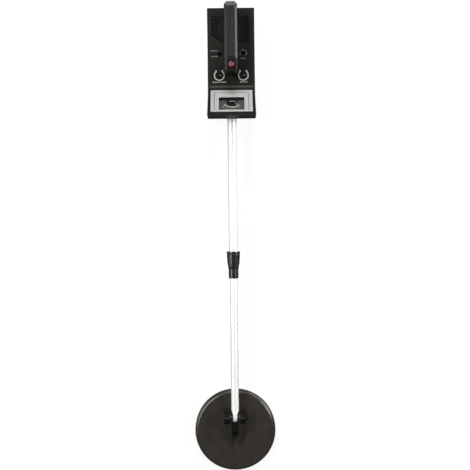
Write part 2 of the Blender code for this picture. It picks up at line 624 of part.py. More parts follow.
def grip_and_cap():
    low, top, rib = HANDLE_TOP_Z + GAP, HANDLE_TOP_Z + 0.0014, 0.0010
    half, ribs = HANDLE_STRIP_HALF_WIDTH, 5
    outline = [(-half, low), (half, low)]
    pitch = 2 * half / ribs
    for i in range(ribs):
        right = half - i * pitch
        outline += [(right, top), (right - pitch * 0.2, top + rib), (right - pitch * 0.6, top + rib)]
        outline += [(right - pitch * 0.8, top)]
    outline += [(-half, top)]
    front_view = Matrix(((1, 0, 0, 0), (0, 0, -1, 0), (0, 1, 0, 0), (0, 0, 0, 1)))
    pad = plate("grip_pad", outline, -0.5600, -HANDLE_FRONT_Y - 0.003, RUBBER, front_view)
    cap = block("handle_cap", (-0.0129, 0.5606, 0.1283), (0.0129, 0.5735, 0.1400), GREY)
    return [pad, soften(cap, 0.004, 3)]


def button():
    stem, flange, rise = 0.0092, 0.0110, 0.0045
    dome = [(0, rise), (0.003, rise - 0.0003), (0.006, rise - 0.0013), (0.0082, 0.0017), (stem, 0)]
    profile = dome + [(stem, -0.0052), (flange, -0.0052), (flange, -0.0068), (0, -0.0068)]
    press = turned("push_button", profile, BUTTON_PLACE, RED, 28)
    switch = block("button_switch", (-0.005, -0.006, -0.0185), (0.005, 0.006, -0.0105), BLACK, BUTTON_PLACE)
    return press, switch


def knob(side, x):
    place = Matrix.Translation((x, KNOB_Y, 0))
    base, skirt, grip = FACE_Z + 0.0005, 0.0095, 0.0078
    profile = [(0, 0.0850), (grip - 0.0010, 0.0850), (grip, 0.0842), (grip, 0.0745), (skirt, 0.0735)]
    profile += [(skirt, base), (0.0034, base), (0.0034, 0.0805), (0, 0.0805)]
    cap = turned(f"{side}_knob", profile, place, BLACK, 28)
    shaft = rod(f"{side}_knob_shaft", (x, KNOB_Y, 0.0530), (x, KNOB_Y, 0.0802), 0.0029, STEEL, 16)
    pivot(f"{side}_knob_axis", (x, KNOB_Y, FACE_Z), cap, shaft)


def mode_slider():
    low = (SWITCH_X - 0.0043, SWITCH_Y + 0.0001, 0.0638)
    slider = block("mode_slider", low, (SWITCH_X + 0.0043, SWITCH_Y + 0.0059, 0.0735), BLACK)
    return soften(slider, 0.0006, 1)


# Build

clear_scene()
PARTS = new_collection("metal_detector")
HELPERS = new_collection("cutters")
BLACK = finish("black plastic", (0.020, 0.020, 0.021), 0.40)
BLACK_PANEL = finish("textured black plastic", (0.028, 0.029, 0.028), 0.55)
BLACK_BROWN = finish("coil plastic", (0.045, 0.042, 0.036), 0.45)
GREY = finish("grey plastic", (0.20, 0.20, 0.20), 0.50)
RUBBER = finish("rubber", (0.030, 0.030, 0.030), 0.75)
RED = finish("red plastic", (0.50, 0.020, 0.030), 0.25)
NYLON = finish("nylon", (0.60, 0.58, 0.52), 0.50)
PAPER = finish("speaker paper", (0.06, 0.055, 0.05), 0.85)
DIAL = finish("dial card", (0.045, 0.045, 0.042), 0.70)
NEEDLE = finish("needle", (0.85, 0.85, 0.82), 0.50)
CLEAR = finish("clear plastic", (0.90, 0.90, 0.90), 0.05)
BOARD_GREEN = finish("circuit board", (0.03, 0.16, 0.06), 0.50)
COPPER = finish("copper wire", (0.70, 0.32, 0.16), 0.35, 1.0)
SATIN_ALUMINIUM = finish("satin aluminium", (0.86, 0.86, 0.86), 0.35, 1.0)
SILVER = finish("silver bezel", (0.60, 0.60, 0.58), 0.35, 0.6)
STEEL = finish("steel", (0.55, 0.55, 0.56), 0.35, 1.0)
CHROME = finish("chrome", (0.80, 0.80, 0.80), 0.12, 1.0)

top_case()
bottom_case()
case_fittings()
inner_parts()
meter()
handle()
grip_and_cap()
upper_tube()
collar_inside()
_, door = battery_bay()
pivot("battery_door_axis", (0, 0.5422, CASE_BOTTOM_Z), door)
needle, needle_place = meter_needle()
pivot("meter_needle_axis", needle_place, needle)
press, _ = button()
pivot("push_button_axis", BUTTON_PLACE.translation, press)
for knob_side, knob_x in (("left", -KNOB_X), ("right", KNOB_X)):
    knob(knob_side, knob_x)
pivot("mode_slider_axis", (SWITCH_X, SWITCH_Y, FACE_Z), mode_slider())
pivot("collar_axis", (0, COLLAR_LOW_Y, STEM_Z), collar())
pivot("stem_slide_axis", (0, 0, STEM_Z), lower_tube(), guide_bush())
hardware, thumb_nut = yoke_hardware()
pivot("coil_tilt_axis", PIVOT_PLACE, coil_shell(), *coil_inside(), *hardware)
pivot("thumb_nut_axis", PIVOT_PLACE, thumb_nut)
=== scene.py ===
"""Looks of the metal detector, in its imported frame. Metres, +Z up, +Y towards the control box."""

import json
import math

import bmesh
import bpy
from mathutils import Matrix, Vector


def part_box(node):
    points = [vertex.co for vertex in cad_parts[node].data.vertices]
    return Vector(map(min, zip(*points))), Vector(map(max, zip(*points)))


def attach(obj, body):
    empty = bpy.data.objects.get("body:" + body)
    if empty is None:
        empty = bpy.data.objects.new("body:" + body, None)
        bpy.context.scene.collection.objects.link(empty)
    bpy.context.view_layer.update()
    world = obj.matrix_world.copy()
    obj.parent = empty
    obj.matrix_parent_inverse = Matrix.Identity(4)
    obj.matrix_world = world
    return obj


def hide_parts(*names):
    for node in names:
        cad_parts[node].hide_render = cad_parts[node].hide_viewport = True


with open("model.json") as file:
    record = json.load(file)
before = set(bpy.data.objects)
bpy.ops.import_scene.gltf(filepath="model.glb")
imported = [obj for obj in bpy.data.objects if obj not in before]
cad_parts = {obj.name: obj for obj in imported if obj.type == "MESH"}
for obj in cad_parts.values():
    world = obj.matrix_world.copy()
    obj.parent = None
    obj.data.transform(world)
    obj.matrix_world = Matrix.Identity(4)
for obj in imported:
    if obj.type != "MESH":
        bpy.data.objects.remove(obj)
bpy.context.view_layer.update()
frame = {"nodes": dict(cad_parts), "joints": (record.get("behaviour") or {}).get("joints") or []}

JOINTS = {joint["name"]: joint for joint in frame["joints"]}
NODES = frame["nodes"]

# Places read from the frame
COIL_LOW, COIL_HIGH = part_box("coil_shell")
COVER_LOW, COVER_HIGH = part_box("coil_cover")
CASE_LOW, CASE_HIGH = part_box("top_case")
BASE_LOW, BASE_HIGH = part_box("bottom_case")
UPPER_LOW, UPPER_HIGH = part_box("upper_tube")
LOWER_LOW, LOWER_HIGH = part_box("lower_tube")
COLLAR_LOW, COLLAR_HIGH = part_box("collar")
PAD_LOW, PAD_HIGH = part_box("grip_pad")
HANDLE_LOW, HANDLE_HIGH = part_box("handle_right")
PIVOT = Vector(JOINTS["coil_tilt"]["pos_m"])
STEM_Z = PIVOT.z
GAP = 0.0003
SCREW_BORE = 0.00195
BOLT_BORE = 0.0033

# Lower and upper side of a thin sheet on a face, above that face
SHEET_LOW = 0.00002
SHEET_HIGH = 0.00022

# The body most pieces ride on, and the material slots used most
CASE = "control_box"
TEXTURED = "textured_black_plastic"
SMOOTH = "black_plastic"
INK = "needle_white"

# The case, whose hump slopes up from the panel to its front lip
FACE_Z = JOINTS["left_knob_turn"]["pos_m"][2]
PRINT_LOW = FACE_Z + 0.00024
PRINT_HIGH = FACE_Z + 0.00032
HUMP_REAR_Y = 0.380
HUMP_FRONT_Y = CASE_LOW.y
HUMP_TOP_Z = 0.1185
REAR_Y = CASE_HIGH.y
REAR_HALF_WIDTH = 0.0583
CASE_HALF_WIDTH = 0.0575
HUMP_HALF_WIDTH = CASE_HIGH.x
CASE_WALL = 0.0025
HUMP_ANGLE = math.atan2(HUMP_TOP_Z - FACE_Z, HUMP_REAR_Y - HUMP_FRONT_Y)
SLOPE = Matrix.Translation((0, HUMP_REAR_Y, FACE_Z)) @ Matrix.Rotation(-HUMP_ANGLE, 4, "X")

# The handle, whose front slope carries the button
HANDLE_TOP_Z = HANDLE_HIGH.z
HANDLE_FRONT_Y = 0.438
SLOPE_LOW_Y = HANDLE_LOW.y
SLOPE_LOW_Z = 0.1255
BUTTON_ANGLE = math.atan2(HANDLE_TOP_Z - SLOPE_LOW_Z, HANDLE_FRONT_Y - SLOPE_LOW_Y)
BUTTON = Matrix.Translation(
    (0, (HANDLE_FRONT_Y + SLOPE_LOW_Y) / 2, (HANDLE_TOP_Z + SLOPE_LOW_Z) / 2)
) @ Matrix.Rotation(BUTTON_ANGLE, 4, "X")

SIDE_VIEW = Matrix(((0, 0, 1, 0), (1, 0, 0, 0), (0, 1, 0, 0), (0, 0, 0, 1)))
FLAT = Matrix.Identity(4)
ALONG_STEM = Matrix.Translation((0, 0, STEM_Z)) @ Matrix.Rotation(math.radians(-90), 4, "X")
ALONG_BOLT = Matrix.Translation(PIVOT) @ Matrix.Rotation(math.radians(90), 4, "Y")


# Shape helpers


def place_in_scene(name, data):
    obj = bpy.data.objects.new(name, data)
    bpy.context.scene.collection.objects.link(obj)
    return obj


def add(name, mesh, place=FLAT):
    obj = place_in_scene(name, mesh)
    obj.matrix_world = place
    return obj


def mesh_of(name, shape):
    mesh = bpy.data.meshes.new(name)
    shape.to_mesh(mesh)
    shape.free()
    return mesh


def bake(obj):
    """Applies an object's modifiers."""
    graph = bpy.context.evaluated_depsgraph_get()
    mesh = bpy.data.meshes.new_from_object(obj.evaluated_get(graph))
    obj.modifiers.clear()
    obj.data = mesh
    return obj


def block(name, low, high, place=FLAT):
    low, high = Vector(low), Vector(high)
    shape = bmesh.new()
    bmesh.ops.create_cube(shape, size=1.0)
    bmesh.ops.scale(shape, vec=high - low, verts=shape.verts)
    return add(name, mesh_of(name, shape), place @ Matrix.Translation((low + high) / 2))


def rod(name, start, end, radius, sides=48):
    start, end = Vector(start), Vector(end)
    shape = bmesh.new()
    bmesh.ops.create_cone(
        shape, cap_ends=True, segments=sides, radius1=radius, radius2=radius, depth=(end - start).length
    )
    turn = (end - start).to_track_quat("Z", "Y").to_matrix().to_4x4()
    return add(name, mesh_of(name, shape), Matrix.Translation((start + end) / 2) @ turn)


def drill(x, y, low, high, radius, sides=48):
    """An upright rod, to cut a hole or to stand as a pillar."""
    return rod("drill", (x, y, low), (x, y, high), radius, sides)


def footprint(node, margin=0.0):
    """Left, front, right and rear side of a node's box, moved out by a margin."""
    low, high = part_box(node)
    return low.x - margin, low.y - margin, high.x + margin, high.y + margin


def bolt_hole(start, end):
    """A cutter on the tilt bolt's axis, between two distances from the pivot."""
    return rod("bolt_hole", PIVOT + Vector((start, 0, 0)), PIVOT + Vector((end, 0, 0)), BOLT_BORE)


def middle(node):
    """The middle of a node's box, seen from above."""
    low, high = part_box(node)
    return (low.x + high.x) / 2, (low.y + high.y) / 2


def upright(node):
    """The middle of a node's box, as a place at floor height."""
    return Matrix.Translation((*middle(node), 0))


def turned(name, profile, place, sides=96):
    """Turns (radius, height) points, listed down the outer side, about place's Z axis."""
    mesh = bpy.data.meshes.new(name)
    last = len(profile) - 1
    edges = [(i, i + 1) for i in range(last)]
    if profile[0][0] > 0:
        edges.append((last, 0))
    mesh.from_pydata([(radius, 0, height) for radius, height in profile], edges, [])
    obj = add(name, mesh, place)
    screw = obj.modifiers.new("Turn", "SCREW")
    screw.steps = sides
    screw.render_steps = sides
    screw.use_merge_vertices = True
    screw.merge_threshold = 0.00001
    return bake(obj)


def loft(name, rings, place=FLAT, hollow=False):
    """A closed skin over rings with the same number of points each. A hollow one has no end caps."""
    shape = bmesh.new()
    loops = [[shape.verts.new(point) for point in ring] for ring in rings]
    for near, far in zip(loops, loops[1:] + (loops[:1] if hollow else [])):
        for i in range(len(near)):
            j = (i + 1) % len(near)
            shape.faces.new((near[i], near[j], far[j], far[i]))
    if not hollow:
        shape.faces.new(loops[0])
        shape.faces.new(loops[-1])
    bmesh.ops.recalc_face_normals(shape, faces=shape.faces)
    return add(name, mesh_of(name, shape), place)


def plate(name, outline, low, high, place=FLAT):
    """A flat outline, as thick as from low to high along place's Z axis."""
    return loft(name, [[(x, y, z) for x, y in outline] for z in (low, high)], place)


def rounded_plate(name, sides, radius, low, high, place=FLAT, steps=6):
    """A plate with round corners. Its sides are left, front, right and rear."""
    return plate(name, rounded_rectangle(*sides, radius, steps), low, high, place)


def soften(obj, width, steps=3, angle=35):
    bevel = obj.modifiers.new("Soft edges", "BEVEL")
    bevel.width = width
    bevel.segments = steps
    bevel.limit_method = "ANGLE"
    bevel.angle_limit = math.radians(angle)
    return bake(obj)


def combine(obj, others, operation):
    for other in others:
        modifier = obj.modifiers.new(operation, "BOOLEAN")
        modifier.operation = operation
        modifier.object = other
        modifier.solver = "EXACT"
    bake(obj)
    for other in others:
        bpy.data.objects.remove(other)
    return obj


def cut(obj, *cutters):
    return combine(obj, cutters, "DIFFERENCE")


def join(obj, *others):
    return combine(obj, others, "UNION")


def arc(centre, radius, start, end, steps=12):
    angles = [math.radians(start + (end - start) * i / steps) for i in range(steps + 1)]
    return [(centre[0] + radius * math.cos(a), centre[1] + radius * math.sin(a)) for a in angles]


def fillet(corners, radii, steps=6):
    """Corner points with each corner rounded to its radius."""
    points = []
    for i, radius in enumerate(radii):
        corner = Vector(corners[i])
        if not radius:
            points.append(corner)
            continue
        back = (Vector(corners[i - 1]) - corner).normalized()
        ahead = (Vector(corners[(i + 1) % len(corners)]) - corner).normalized()
        half = back.angle(ahead) / 2
        centre = corner + (back + ahead).normalized() * radius / math.sin(half)
        first = (corner + back * radius / math.tan(half) - centre).normalized()
        last = (corner + ahead * radius / math.tan(half) - centre).normalized()
        swing = first.angle(last)
        for k in range(steps + 1):
            t = k / steps
            way = (first * math.sin((1 - t) * swing) + last * math.sin(t * swing)) / math.sin(swing)
            points.append(centre + way * radius)
    return points


def moved_in(outline, distance):
    """A counter-clockwise outline with every edge moved inwards."""
    points = []
    for i, point in enumerate(outline):
        before = (point - outline[i - 1]).normalized()
        after = (outline[(i + 1) % len(outline)] - point).normalized()
        inward = Vector((-before.y - after.y, before.x + after.x)).normalized()
        points.append(point + inward * distance / max(0.4, inward.dot(Vector((-before.y, before.x)))))
    return points


def rounded_rectangle(left, low, right, high, radius, steps=6):
    return fillet([(left, low), (right, low), (right, high), (left, high)], [radius] * 4, steps)


def scallops(radius, depth, lobes, points_per_lobe=14):
    count = lobes * points_per_lobe
    outline = []
    for i in range(count):
        angle = 2 * math.pi * i / count
        r = radius - depth * (1 - math.cos(lobes * angle)) / 2
        outline.append((r * math.cos(angle), r * math.sin(angle)))
    return outline


def fluted(radius, depth, flutes, count):
    """A circle with narrow flutes in it."""
    points = []
    for i in range(count):
        angle = 2 * math.pi * i / count
        r = radius - depth * (0.5 - 0.5 * math.cos(flutes * angle)) ** 2
        points.append((r * math.cos(angle), r * math.sin(angle)))
    return points


def merge(first, others):
    """One object from several separate shapes."""
    shape = bmesh.new()
    for obj in (first, *others):
        mesh = obj.data.copy()
        mesh.transform(obj.matrix_world)
        shape.from_mesh(mesh)
        bpy.data.meshes.remove(mesh)
    for obj in others:
        bpy.data.objects.remove(obj)
    first.data = mesh_of(first.name, shape)
    first.matrix_world = FLAT
    return first


def dress(obj, material, sharp=32):
    """Gives an object its one material, and smooth shading up to an angle."""
    obj.data.materials.clear()
    obj.data.materials.append(material)
    obj.data.shade_smooth()
    obj.data.set_sharp_from_angle(angle=math.radians(sharp))


def show(obj, body, slot, material, *nodes, sharp=32):
    """Finishes a piece: its material, its shading, the body it rides on and the CAD nodes it stands for."""
    dress(obj, material, sharp)
    weighted = obj.modifiers.new("Even shading", "WEIGHTED_NORMAL")
    weighted.keep_sharp = True
    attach(obj, body)
    if nodes:
        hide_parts(*nodes)
    return obj


def show_print(name, pieces, ink):
    """Shows the pieces of one print as a single thin piece."""
    pieces[0].name = name
    return show(merge(pieces[0], pieces[1:]), CASE, INK, ink)


# Materials


class Surface:
    """A Principled material with short calls for adding and linking nodes."""

    def __init__(self, name, colour, roughness, metallic=0.0):
        self.material = bpy.data.materials.new(name)
        self.material.use_nodes = True
        self.shader = self.material.node_tree.nodes["Principled BSDF"]
        self.set("Base Color", (*colour, 1.0))
        self.set("Roughness", roughness)
        self.set("Metallic", metallic)
        self.colour = colour
        self.roughness = roughness
        self.bumps = None
        self.coords = self.node("ShaderNodeTexCoord").outputs["Object"]

    def set(self, socket, value):
        self.shader.inputs[socket].default_value = value

    def node(self, kind, inputs=(), **values):
        """Adds a node, with the values of its input sockets and its own settings."""
        made = self.material.node_tree.nodes.new(kind)
        for key, value in values.items():
            setattr(made, key, value)
        for socket, value in inputs:
            made.inputs[socket].default_value = value
        return made

    def link(self, source, target):
        self.material.node_tree.links.new(source, target)

    def stretched(self, stretch):
        mapping = self.node("ShaderNodeMapping", [("Scale", stretch)])
        self.link(self.coords, mapping.inputs["Vector"])
        return mapping.outputs["Vector"]

    def noise(self, scale, detail=3.0, stretch=(1, 1, 1)):
        made = self.node("ShaderNodeTexNoise", [("Scale", scale), ("Detail", detail)])
        self.link(self.stretched(stretch), made.inputs["Vector"])
        return made.outputs["Fac"]

    def cells(self, scale):
        made = self.node("ShaderNodeTexVoronoi", feature="SMOOTH_F1")
        made.inputs["Scale"].default_value = scale
        self.link(self.coords, made.inputs["Vector"])
        return made.outputs["Distance"]

    def ranged(self, source, low, high, start=0.0, end=1.0):
        """Maps a value between start and end to one between low and high."""
        limits = [("From Min", start), ("From Max", end), ("To Min", low), ("To Max", high)]
        made = self.node("ShaderNodeMapRange", limits)
        self.link(source, made.inputs["Value"])
        return made.outputs["Result"]

    def tint(self, factor, colour):
        """Mixes colour over what the base colour is now, by factor."""
        mix = self.node("ShaderNodeMix", data_type="RGBA")
        base = self.shader.inputs["Base Color"]
        if base.links:
            self.link(base.links[0].from_socket, mix.inputs["A"])
        else:
            mix.inputs["A"].default_value = base.default_value
        mix.inputs["B"].default_value = (*colour, 1.0)
        self.link(factor, mix.inputs["Factor"])
        self.link(mix.outputs["Result"], base)

    def bump(self, height, distance):
        """Adds a bump on top of the bumps that are already there."""
        made = self.node("ShaderNodeBump", [("Distance", distance), ("Strength", 1.0)])
        self.link(height, made.inputs["Height"])
        if self.bumps:
            self.link(self.bumps, made.inputs["Normal"])
        self.bumps = made.outputs["Normal"]
        self.link(self.bumps, self.shader.inputs["Normal"])

    def drive_roughness(self, source, low, high):
        """Lets a texture move the roughness between two values."""
        self.link(self.ranged(source, low, high, 0.3, 0.7), self.shader.inputs["Roughness"])

    def patches(self, scale, factor, amount, start, end, detail=3.0):
        """Cloudy patches in which the colour is multiplied by a factor."""
        cloud = self.noise(scale, detail)
        self.tint(self.ranged(cloud, 0.0, amount, start, end), [c * factor for c in self.colour])

    def vary(self, scale, colour_spread, roughness_spread):
        """Cloudy variation of the colour and the roughness."""
        cloud = self.noise(scale, 4.0)
        lighter = [c * (1 + colour_spread) for c in self.colour]
        self.tint(self.ranged(cloud, 0.0, 1.0, 0.35, 0.7), lighter)
        self.drive_roughness(cloud, self.roughness - roughness_spread, self.roughness + roughness_spread)

    def worn_edges(self, colour):
        """Lighter convex edges, where handling has rubbed the surface."""
        sharpness = self.node("ShaderNodeNewGeometry").outputs["Pointiness"]
        self.tint(self.ranged(sharpness, 0.0, 0.5, 0.52, 0.62), colour)


def grained_plastic(name, colour, roughness, grain, depth, specular):
    """Moulded plastic with a pebbled grain."""
    surface = Surface(name, colour, roughness)
    surface.set("Specular IOR Level", specular)
    surface.vary(34, 0.35, 0.06)
    surface.bump(surface.cells(1 / grain), depth)
    surface.bump(surface.noise(2.5 / grain, 2.0), depth / 3)
    surface.worn_edges([c * 2.2 + 0.006 for c in colour])
    return surface.material


def smooth_plastic(name, colour, roughness, specular=0.5):
    """Injection moulded plastic with faint flow marks and fine scratches."""
    surface = Surface(name, colour, roughness)
    surface.set("Specular IOR Level", specular)
    surface.vary(60, 0.30, 0.05)
    surface.bump(surface.noise(900, 2.0), 0.000003)
    surface.bump(surface.noise(260, 3.0, (1, 0.05, 1)), 0.000003)
    surface.worn_edges([c * 1.8 + 0.004 for c in colour])
    return surface.material


def rubber(name, colour):
    surface = Surface(name, colour, 0.72)
    surface.vary(80, 0.35, 0.08)
    surface.bump(surface.noise(1400, 3.0), 0.00003)
    surface.set("Specular IOR Level", 0.35)
    return surface.material


def drawn_metal(name, colour, roughness, metallic):
    """Satin metal with fine lines along its length."""
    surface = Surface(name, colour, roughness, metallic)
    lines = surface.noise(900, 3.0, (1, 0.02, 1))
    surface.drive_roughness(lines, roughness - 0.05, roughness + 0.08)
    surface.patches(30, 0.92, 0.5, 0.4, 0.75, 4.0)
    surface.bump(lines, 0.000006)
    return surface.material


def plain_metal(name, colour, roughness):
    surface = Surface(name, colour, roughness, 1.0)
    surface.vary(120, -0.12, 0.05)
    surface.bump(surface.noise(1500, 2.0), 0.000006)
    return surface.material


def silver_finish(name, colour):
    """Satin silver paint with a fine brushed grain across the bezel."""
    surface = Surface(name, colour, 0.36, 0.30)
    lines = surface.noise(1500, 2.0, (0.015, 1, 1))
    surface.drive_roughness(lines, 0.27, 0.42)
    surface.patches(45, 0.86, 0.6, 0.4, 0.75, 4.0)
    surface.bump(lines, 0.000008)
    return surface.material


def print_ink(name, colour):
    """Slightly patchy screen-printed ink."""
    surface = Surface(name, colour, 0.5)
    surface.patches(1800, 0.7, 0.5, 0.45, 0.8)
    surface.bump(surface.noise(2500, 2.0), 0.00001)
    return surface.material


def red_button(name):
    """Satin red, with a painted highlight that makes the top pale and painted shade that deepens the flank.
    """
    surface = Surface(name, (0.13, 0.006, 0.008), 0.42)
    length = surface.node("ShaderNodeVectorMath", operation="LENGTH")
    surface.link(surface.stretched((1, 1, 0)), length.inputs[0])
    from_axis = length.outputs["Value"]
    # Painted shade: the flank, away from the axis, is darkened towards deep red.
    surface.tint(surface.ranged(from_axis, 0.0, 0.95, 0.0048, 0.0062), (0.009, 0.0008, 0.001))
    # Painted highlight: the top, near the axis, is made pale pink.
    surface.tint(surface.ranged(from_axis, 0.85, 0.0, 0.0010, 0.0046), (0.36, 0.085, 0.095))
    surface.tint(surface.ranged(surface.noise(300, 3.0), 0.0, 0.25, 0.4, 0.75), (0.20, 0.03, 0.035))
    surface.bump(surface.noise(700, 2.0), 0.00002)
    return surface.material


def clear_plastic(name):
    surface = Surface(name, (0.02, 0.02, 0.02), 0.04)
    surface.set("Alpha", 0.07)
    surface.set("Specular IOR Level", 0.5)
    surface.bump(surface.noise(40, 2.0), 0.00002)
    return surface.material


def circuit_board(name):
    surface = Surface(name, (0.015, 0.12, 0.045), 0.45)
    surface.tint(surface.ranged(surface.cells(420), 0.0, 0.8, 0.25, 0.32), (0.03, 0.20, 0.07))
    surface.bump(surface.cells(420), 0.00003)
    return surface.material


def wound_copper(name):
    surface = Surface(name, (0.62, 0.24, 0.11), 0.32, 1.0)
    turns = surface.noise(700, 1.0, (0.15, 0.15, 1))
    surface.bump(turns, 0.0001)
    surface.tint(surface.ranged(turns, 0.0, 0.7, 0.4, 0.7), (0.35, 0.12, 0.05))
    return surface.material


# Control box


def case_ring(y, half_width, low, high):
    return [(-half_width, y, low), (half_width, y, low), (half_width, y, high), (-half_width, y, high)]


def grille_cutters():
    """Slanting slots with round ends over the speaker, bare in one corner."""
    left, right, front, rear = -0.049, 0.0445, 0.491, 0.557
    pitch, half, shortest = 0.0085, 0.0014, 0.006
    first_sum = left + 0.011 + front + 0.014
    cutters = []
    for i in range(int((right + rear - first_sum) / pitch) + 1):
        total = first_sum + i * pitch
        x0, x1 = max(left, total - rear), min(right, total - front)
        if x1 - x0 < shortest:
            continue
        run = (x1 - x0) / math.sqrt(2) - half
        middle = (x0 + x1) / 2
        place = Matrix.Translation((middle, total - middle, 0)) @ Matrix.Rotation(math.radians(-45), 4, "Z")
        outline = arc((run, 0), half, -90, 90, 6) + arc((-run, 0), half, 90, 270, 6)
        cutters.append(plate(f"slot_{i}", outline, FACE_Z - 0.0035, FACE_Z + 0.004, place))
    return cutters


def top_case():
    """The upper case with its raised hump, open below, with four pillars for the screws."""
    parting, under_face, under_slope, bore_top = CASE_LOW.z + GAP, FACE_Z - 0.0022, 0.089, 0.0668
    rear_w, w, hump_w, wall = REAR_HALF_WIDTH, CASE_HALF_WIDTH, HUMP_HALF_WIDTH, CASE_WALL
    outer = [case_ring(REAR_Y, rear_w, parting, FACE_Z), case_ring(HUMP_REAR_Y, w, parting, FACE_Z),
             case_ring(HUMP_FRONT_Y, hump_w, parting, HUMP_TOP_Z)]
    case = soften(loft("top_case", outer), 0.0018, 4, 50)
    drop, open_low = wall / math.cos(HUMP_ANGLE) + wall * math.tan(HUMP_ANGLE), parting - 0.006
    inner_crease = HUMP_REAR_Y - wall * math.tan(HUMP_ANGLE / 2)
    inner = [case_ring(REAR_Y - wall, rear_w - wall, open_low, FACE_Z - wall),
             case_ring(inner_crease, w - wall, open_low, FACE_Z - wall),
             case_ring(HUMP_FRONT_Y + wall, hump_w - wall, open_low, HUMP_TOP_Z - drop)]
    pillars = [drill(x, y, parting, under_face if y > HUMP_REAR_Y else under_slope, 0.0042)
               for x, y in SCREWS]
    cut(case, loft("hollow", inner), *face_cutters(), meter_hole(-0.012, 0.004))
    bead_y, bead_z, bead_end = HUMP_REAR_Y + 0.0002, FACE_Z - 0.0002, 0.0535
    join(case, rod("bead", (-bead_end, bead_y, bead_z), (bead_end, bead_y, bead_z), 0.0009, 24), *pillars)
    cut(case, *[drill(x, y, parting - 0.002, bore_top, SCREW_BORE, 24) for x, y in SCREWS])
    return show(case, CASE, TEXTURED, PANEL, "top_case")


def meter_hole(low, high):
    """A cutter on the slope for the body of the meter."""
    return block("meter_hole", (-0.0333, -0.0768, low), (0.0333, -0.0307, high), SLOPE)


def face_cutters():
    """Cutters for everything that opens through the face of the case."""
    cutters, below, above = grille_cutters(), 0.060, 0.075
    for side in ("left", "right"):
        x, y = JOINTS[f"{side}_knob_turn"]["pos_m"][:2]
        cutters.append(drill(x, y, below, above, 0.0036, 32))
    cutters.append(drill(*middle("headphone_jack"), below, above, 0.0063))
    low, high = switch_slot()
    cutters.append(rounded_plate("switch_hole", (low.x, low.y, high.x, high.y), 0.0008, below, above))
    return cutters


def face_plate():
    """A thin smooth plate on the face, between the two textured borders."""
    sides = (-0.0487, HUMP_REAR_Y + 0.0056, 0.0500, REAR_Y - 0.0035)
    sheet = rounded_plate("face_plate", sides, 0.0012, FACE_Z + SHEET_LOW, FACE_Z + SHEET_HIGH)
    cut(sheet, *face_cutters())
    return show(sheet, CASE, TEXTURED, FACE)


def crease_strip():
    """A paler strip across the face, between its plate and the foot of the hump: a painted highlight along
    the hump's foot.
    """
    half_width, front, rear = 0.0530, HUMP_REAR_Y + 0.0012, HUMP_REAR_Y + 0.0052
    strip = rounded_plate("crease_strip", (-half_width, front, half_width, rear), 0.0006,
                          FACE_Z + SHEET_LOW, FACE_Z + 0.00030)
    return show(strip, CASE, TEXTURED, CREASE_PAINTED_HIGHLIGHT)


def slope_plate():
    """A thin dark plate on the hump's slope, round the meter."""
    length = math.hypot(HUMP_TOP_Z - FACE_Z, HUMP_REAR_Y - HUMP_FRONT_Y)
    end = 0.0022
    rear_w, front_w = CASE_HALF_WIDTH - end, HUMP_HALF_WIDTH - end
    outline = fillet([(-front_w, end - length), (front_w, end - length), (rear_w, -end), (-rear_w, -end)],
                     [0.001] * 4, 4)
    sheet = plate("slope_plate", outline, SHEET_LOW, SHEET_HIGH, SLOPE)
    cut(sheet, meter_hole(-0.002, 0.002))
    return show(sheet, CASE, TEXTURED, SLOPE_BLACK)


def switch_slot():
    """Low and high corner of the opening that the mode slider travels in."""
    low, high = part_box("mode_slider")
    travel = JOINTS["mode_slide"]["range_m"][1]
    margin = 0.0003
    return Vector((low.x - margin, low.y - travel - margin)), Vector((high.x + margin, high.y + margin))


def bottom_case():
    """The lower case, which narrows downwards and takes the stem in a boss at its front."""
    low, high, wall = BASE_LOW.z, BASE_HIGH.z, CASE_WALL
    front, rear, half_front, half_rear = 0.326, 0.574, 0.0555, 0.0540
    hump_w, rear_w, lip = HUMP_HALF_WIDTH, REAR_HALF_WIDTH, HUMP_FRONT_Y + 0.002

    def ring(z, half_front, half_rear, front, rear):
        return [(-half_front, front, z), (half_front, front, z),
                (half_rear, rear, z), (-half_rear, rear, z)]

    outer = [ring(low, half_front, half_rear, front, rear), ring(high, hump_w - GAP, rear_w, lip, REAR_Y)]
    inner = [ring(low + wall, half_front - wall, half_rear - wall, front + wall, rear - wall),
             ring(high + 0.001, hump_w - wall, rear_w - wall, lip + wall, REAR_Y - wall)]
    case = soften(loft("bottom_case", outer), 0.0025, 5, 50)
    boss = soften(rod("stem_boss", (0, 0.3085, STEM_Z), (0, 0.3200, STEM_Z), 0.0152, 64), 0.0012, 3)
    cut(case, loft("hollow", inner))
    join(case, boss, *[drill(x, y, low + 0.0015, high - GAP, 0.0045) for x, y in SCREWS])
    cutters = [rod("stem_hole", (0, 0.295, STEM_Z), (0, 0.328, STEM_Z), UPPER_HIGH.x + 0.0004, 64)]
    below, head_seat = low - 0.003, low + 0.0049
    for x, y in SCREWS:
        cutters.append(drill(x, y, below, 0.065, SCREW_BORE, 24))
        cutters.append(drill(x, y, below, head_seat, 0.0036, 32))
    cutters.append(rounded_plate("door_hole", footprint("battery_door", GAP), 0.002, 0, 0.010))
    cut(case, *cutters)
    return show(case, CASE, TEXTURED, PANEL, "bottom_case")


def battery_door():
    low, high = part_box("battery_door")
    door = rounded_plate("battery_door", footprint("battery_door"), 0.002, low.z, high.z)
    soften(door, 0.0004, 2)
    half, width, depth, pitch = 0.012, 0.0011, 0.0007, 0.0025
    grooves = []
    for i in range(5):
        y = low.y + 0.006 + i * pitch
        grooves.append(block("groove", (-half, y, low.z - 0.001), (half, y + width, low.z + depth)))
    cut(door, *grooves)
    return show(door, "battery_door", TEXTURED, PANEL, "battery_door")


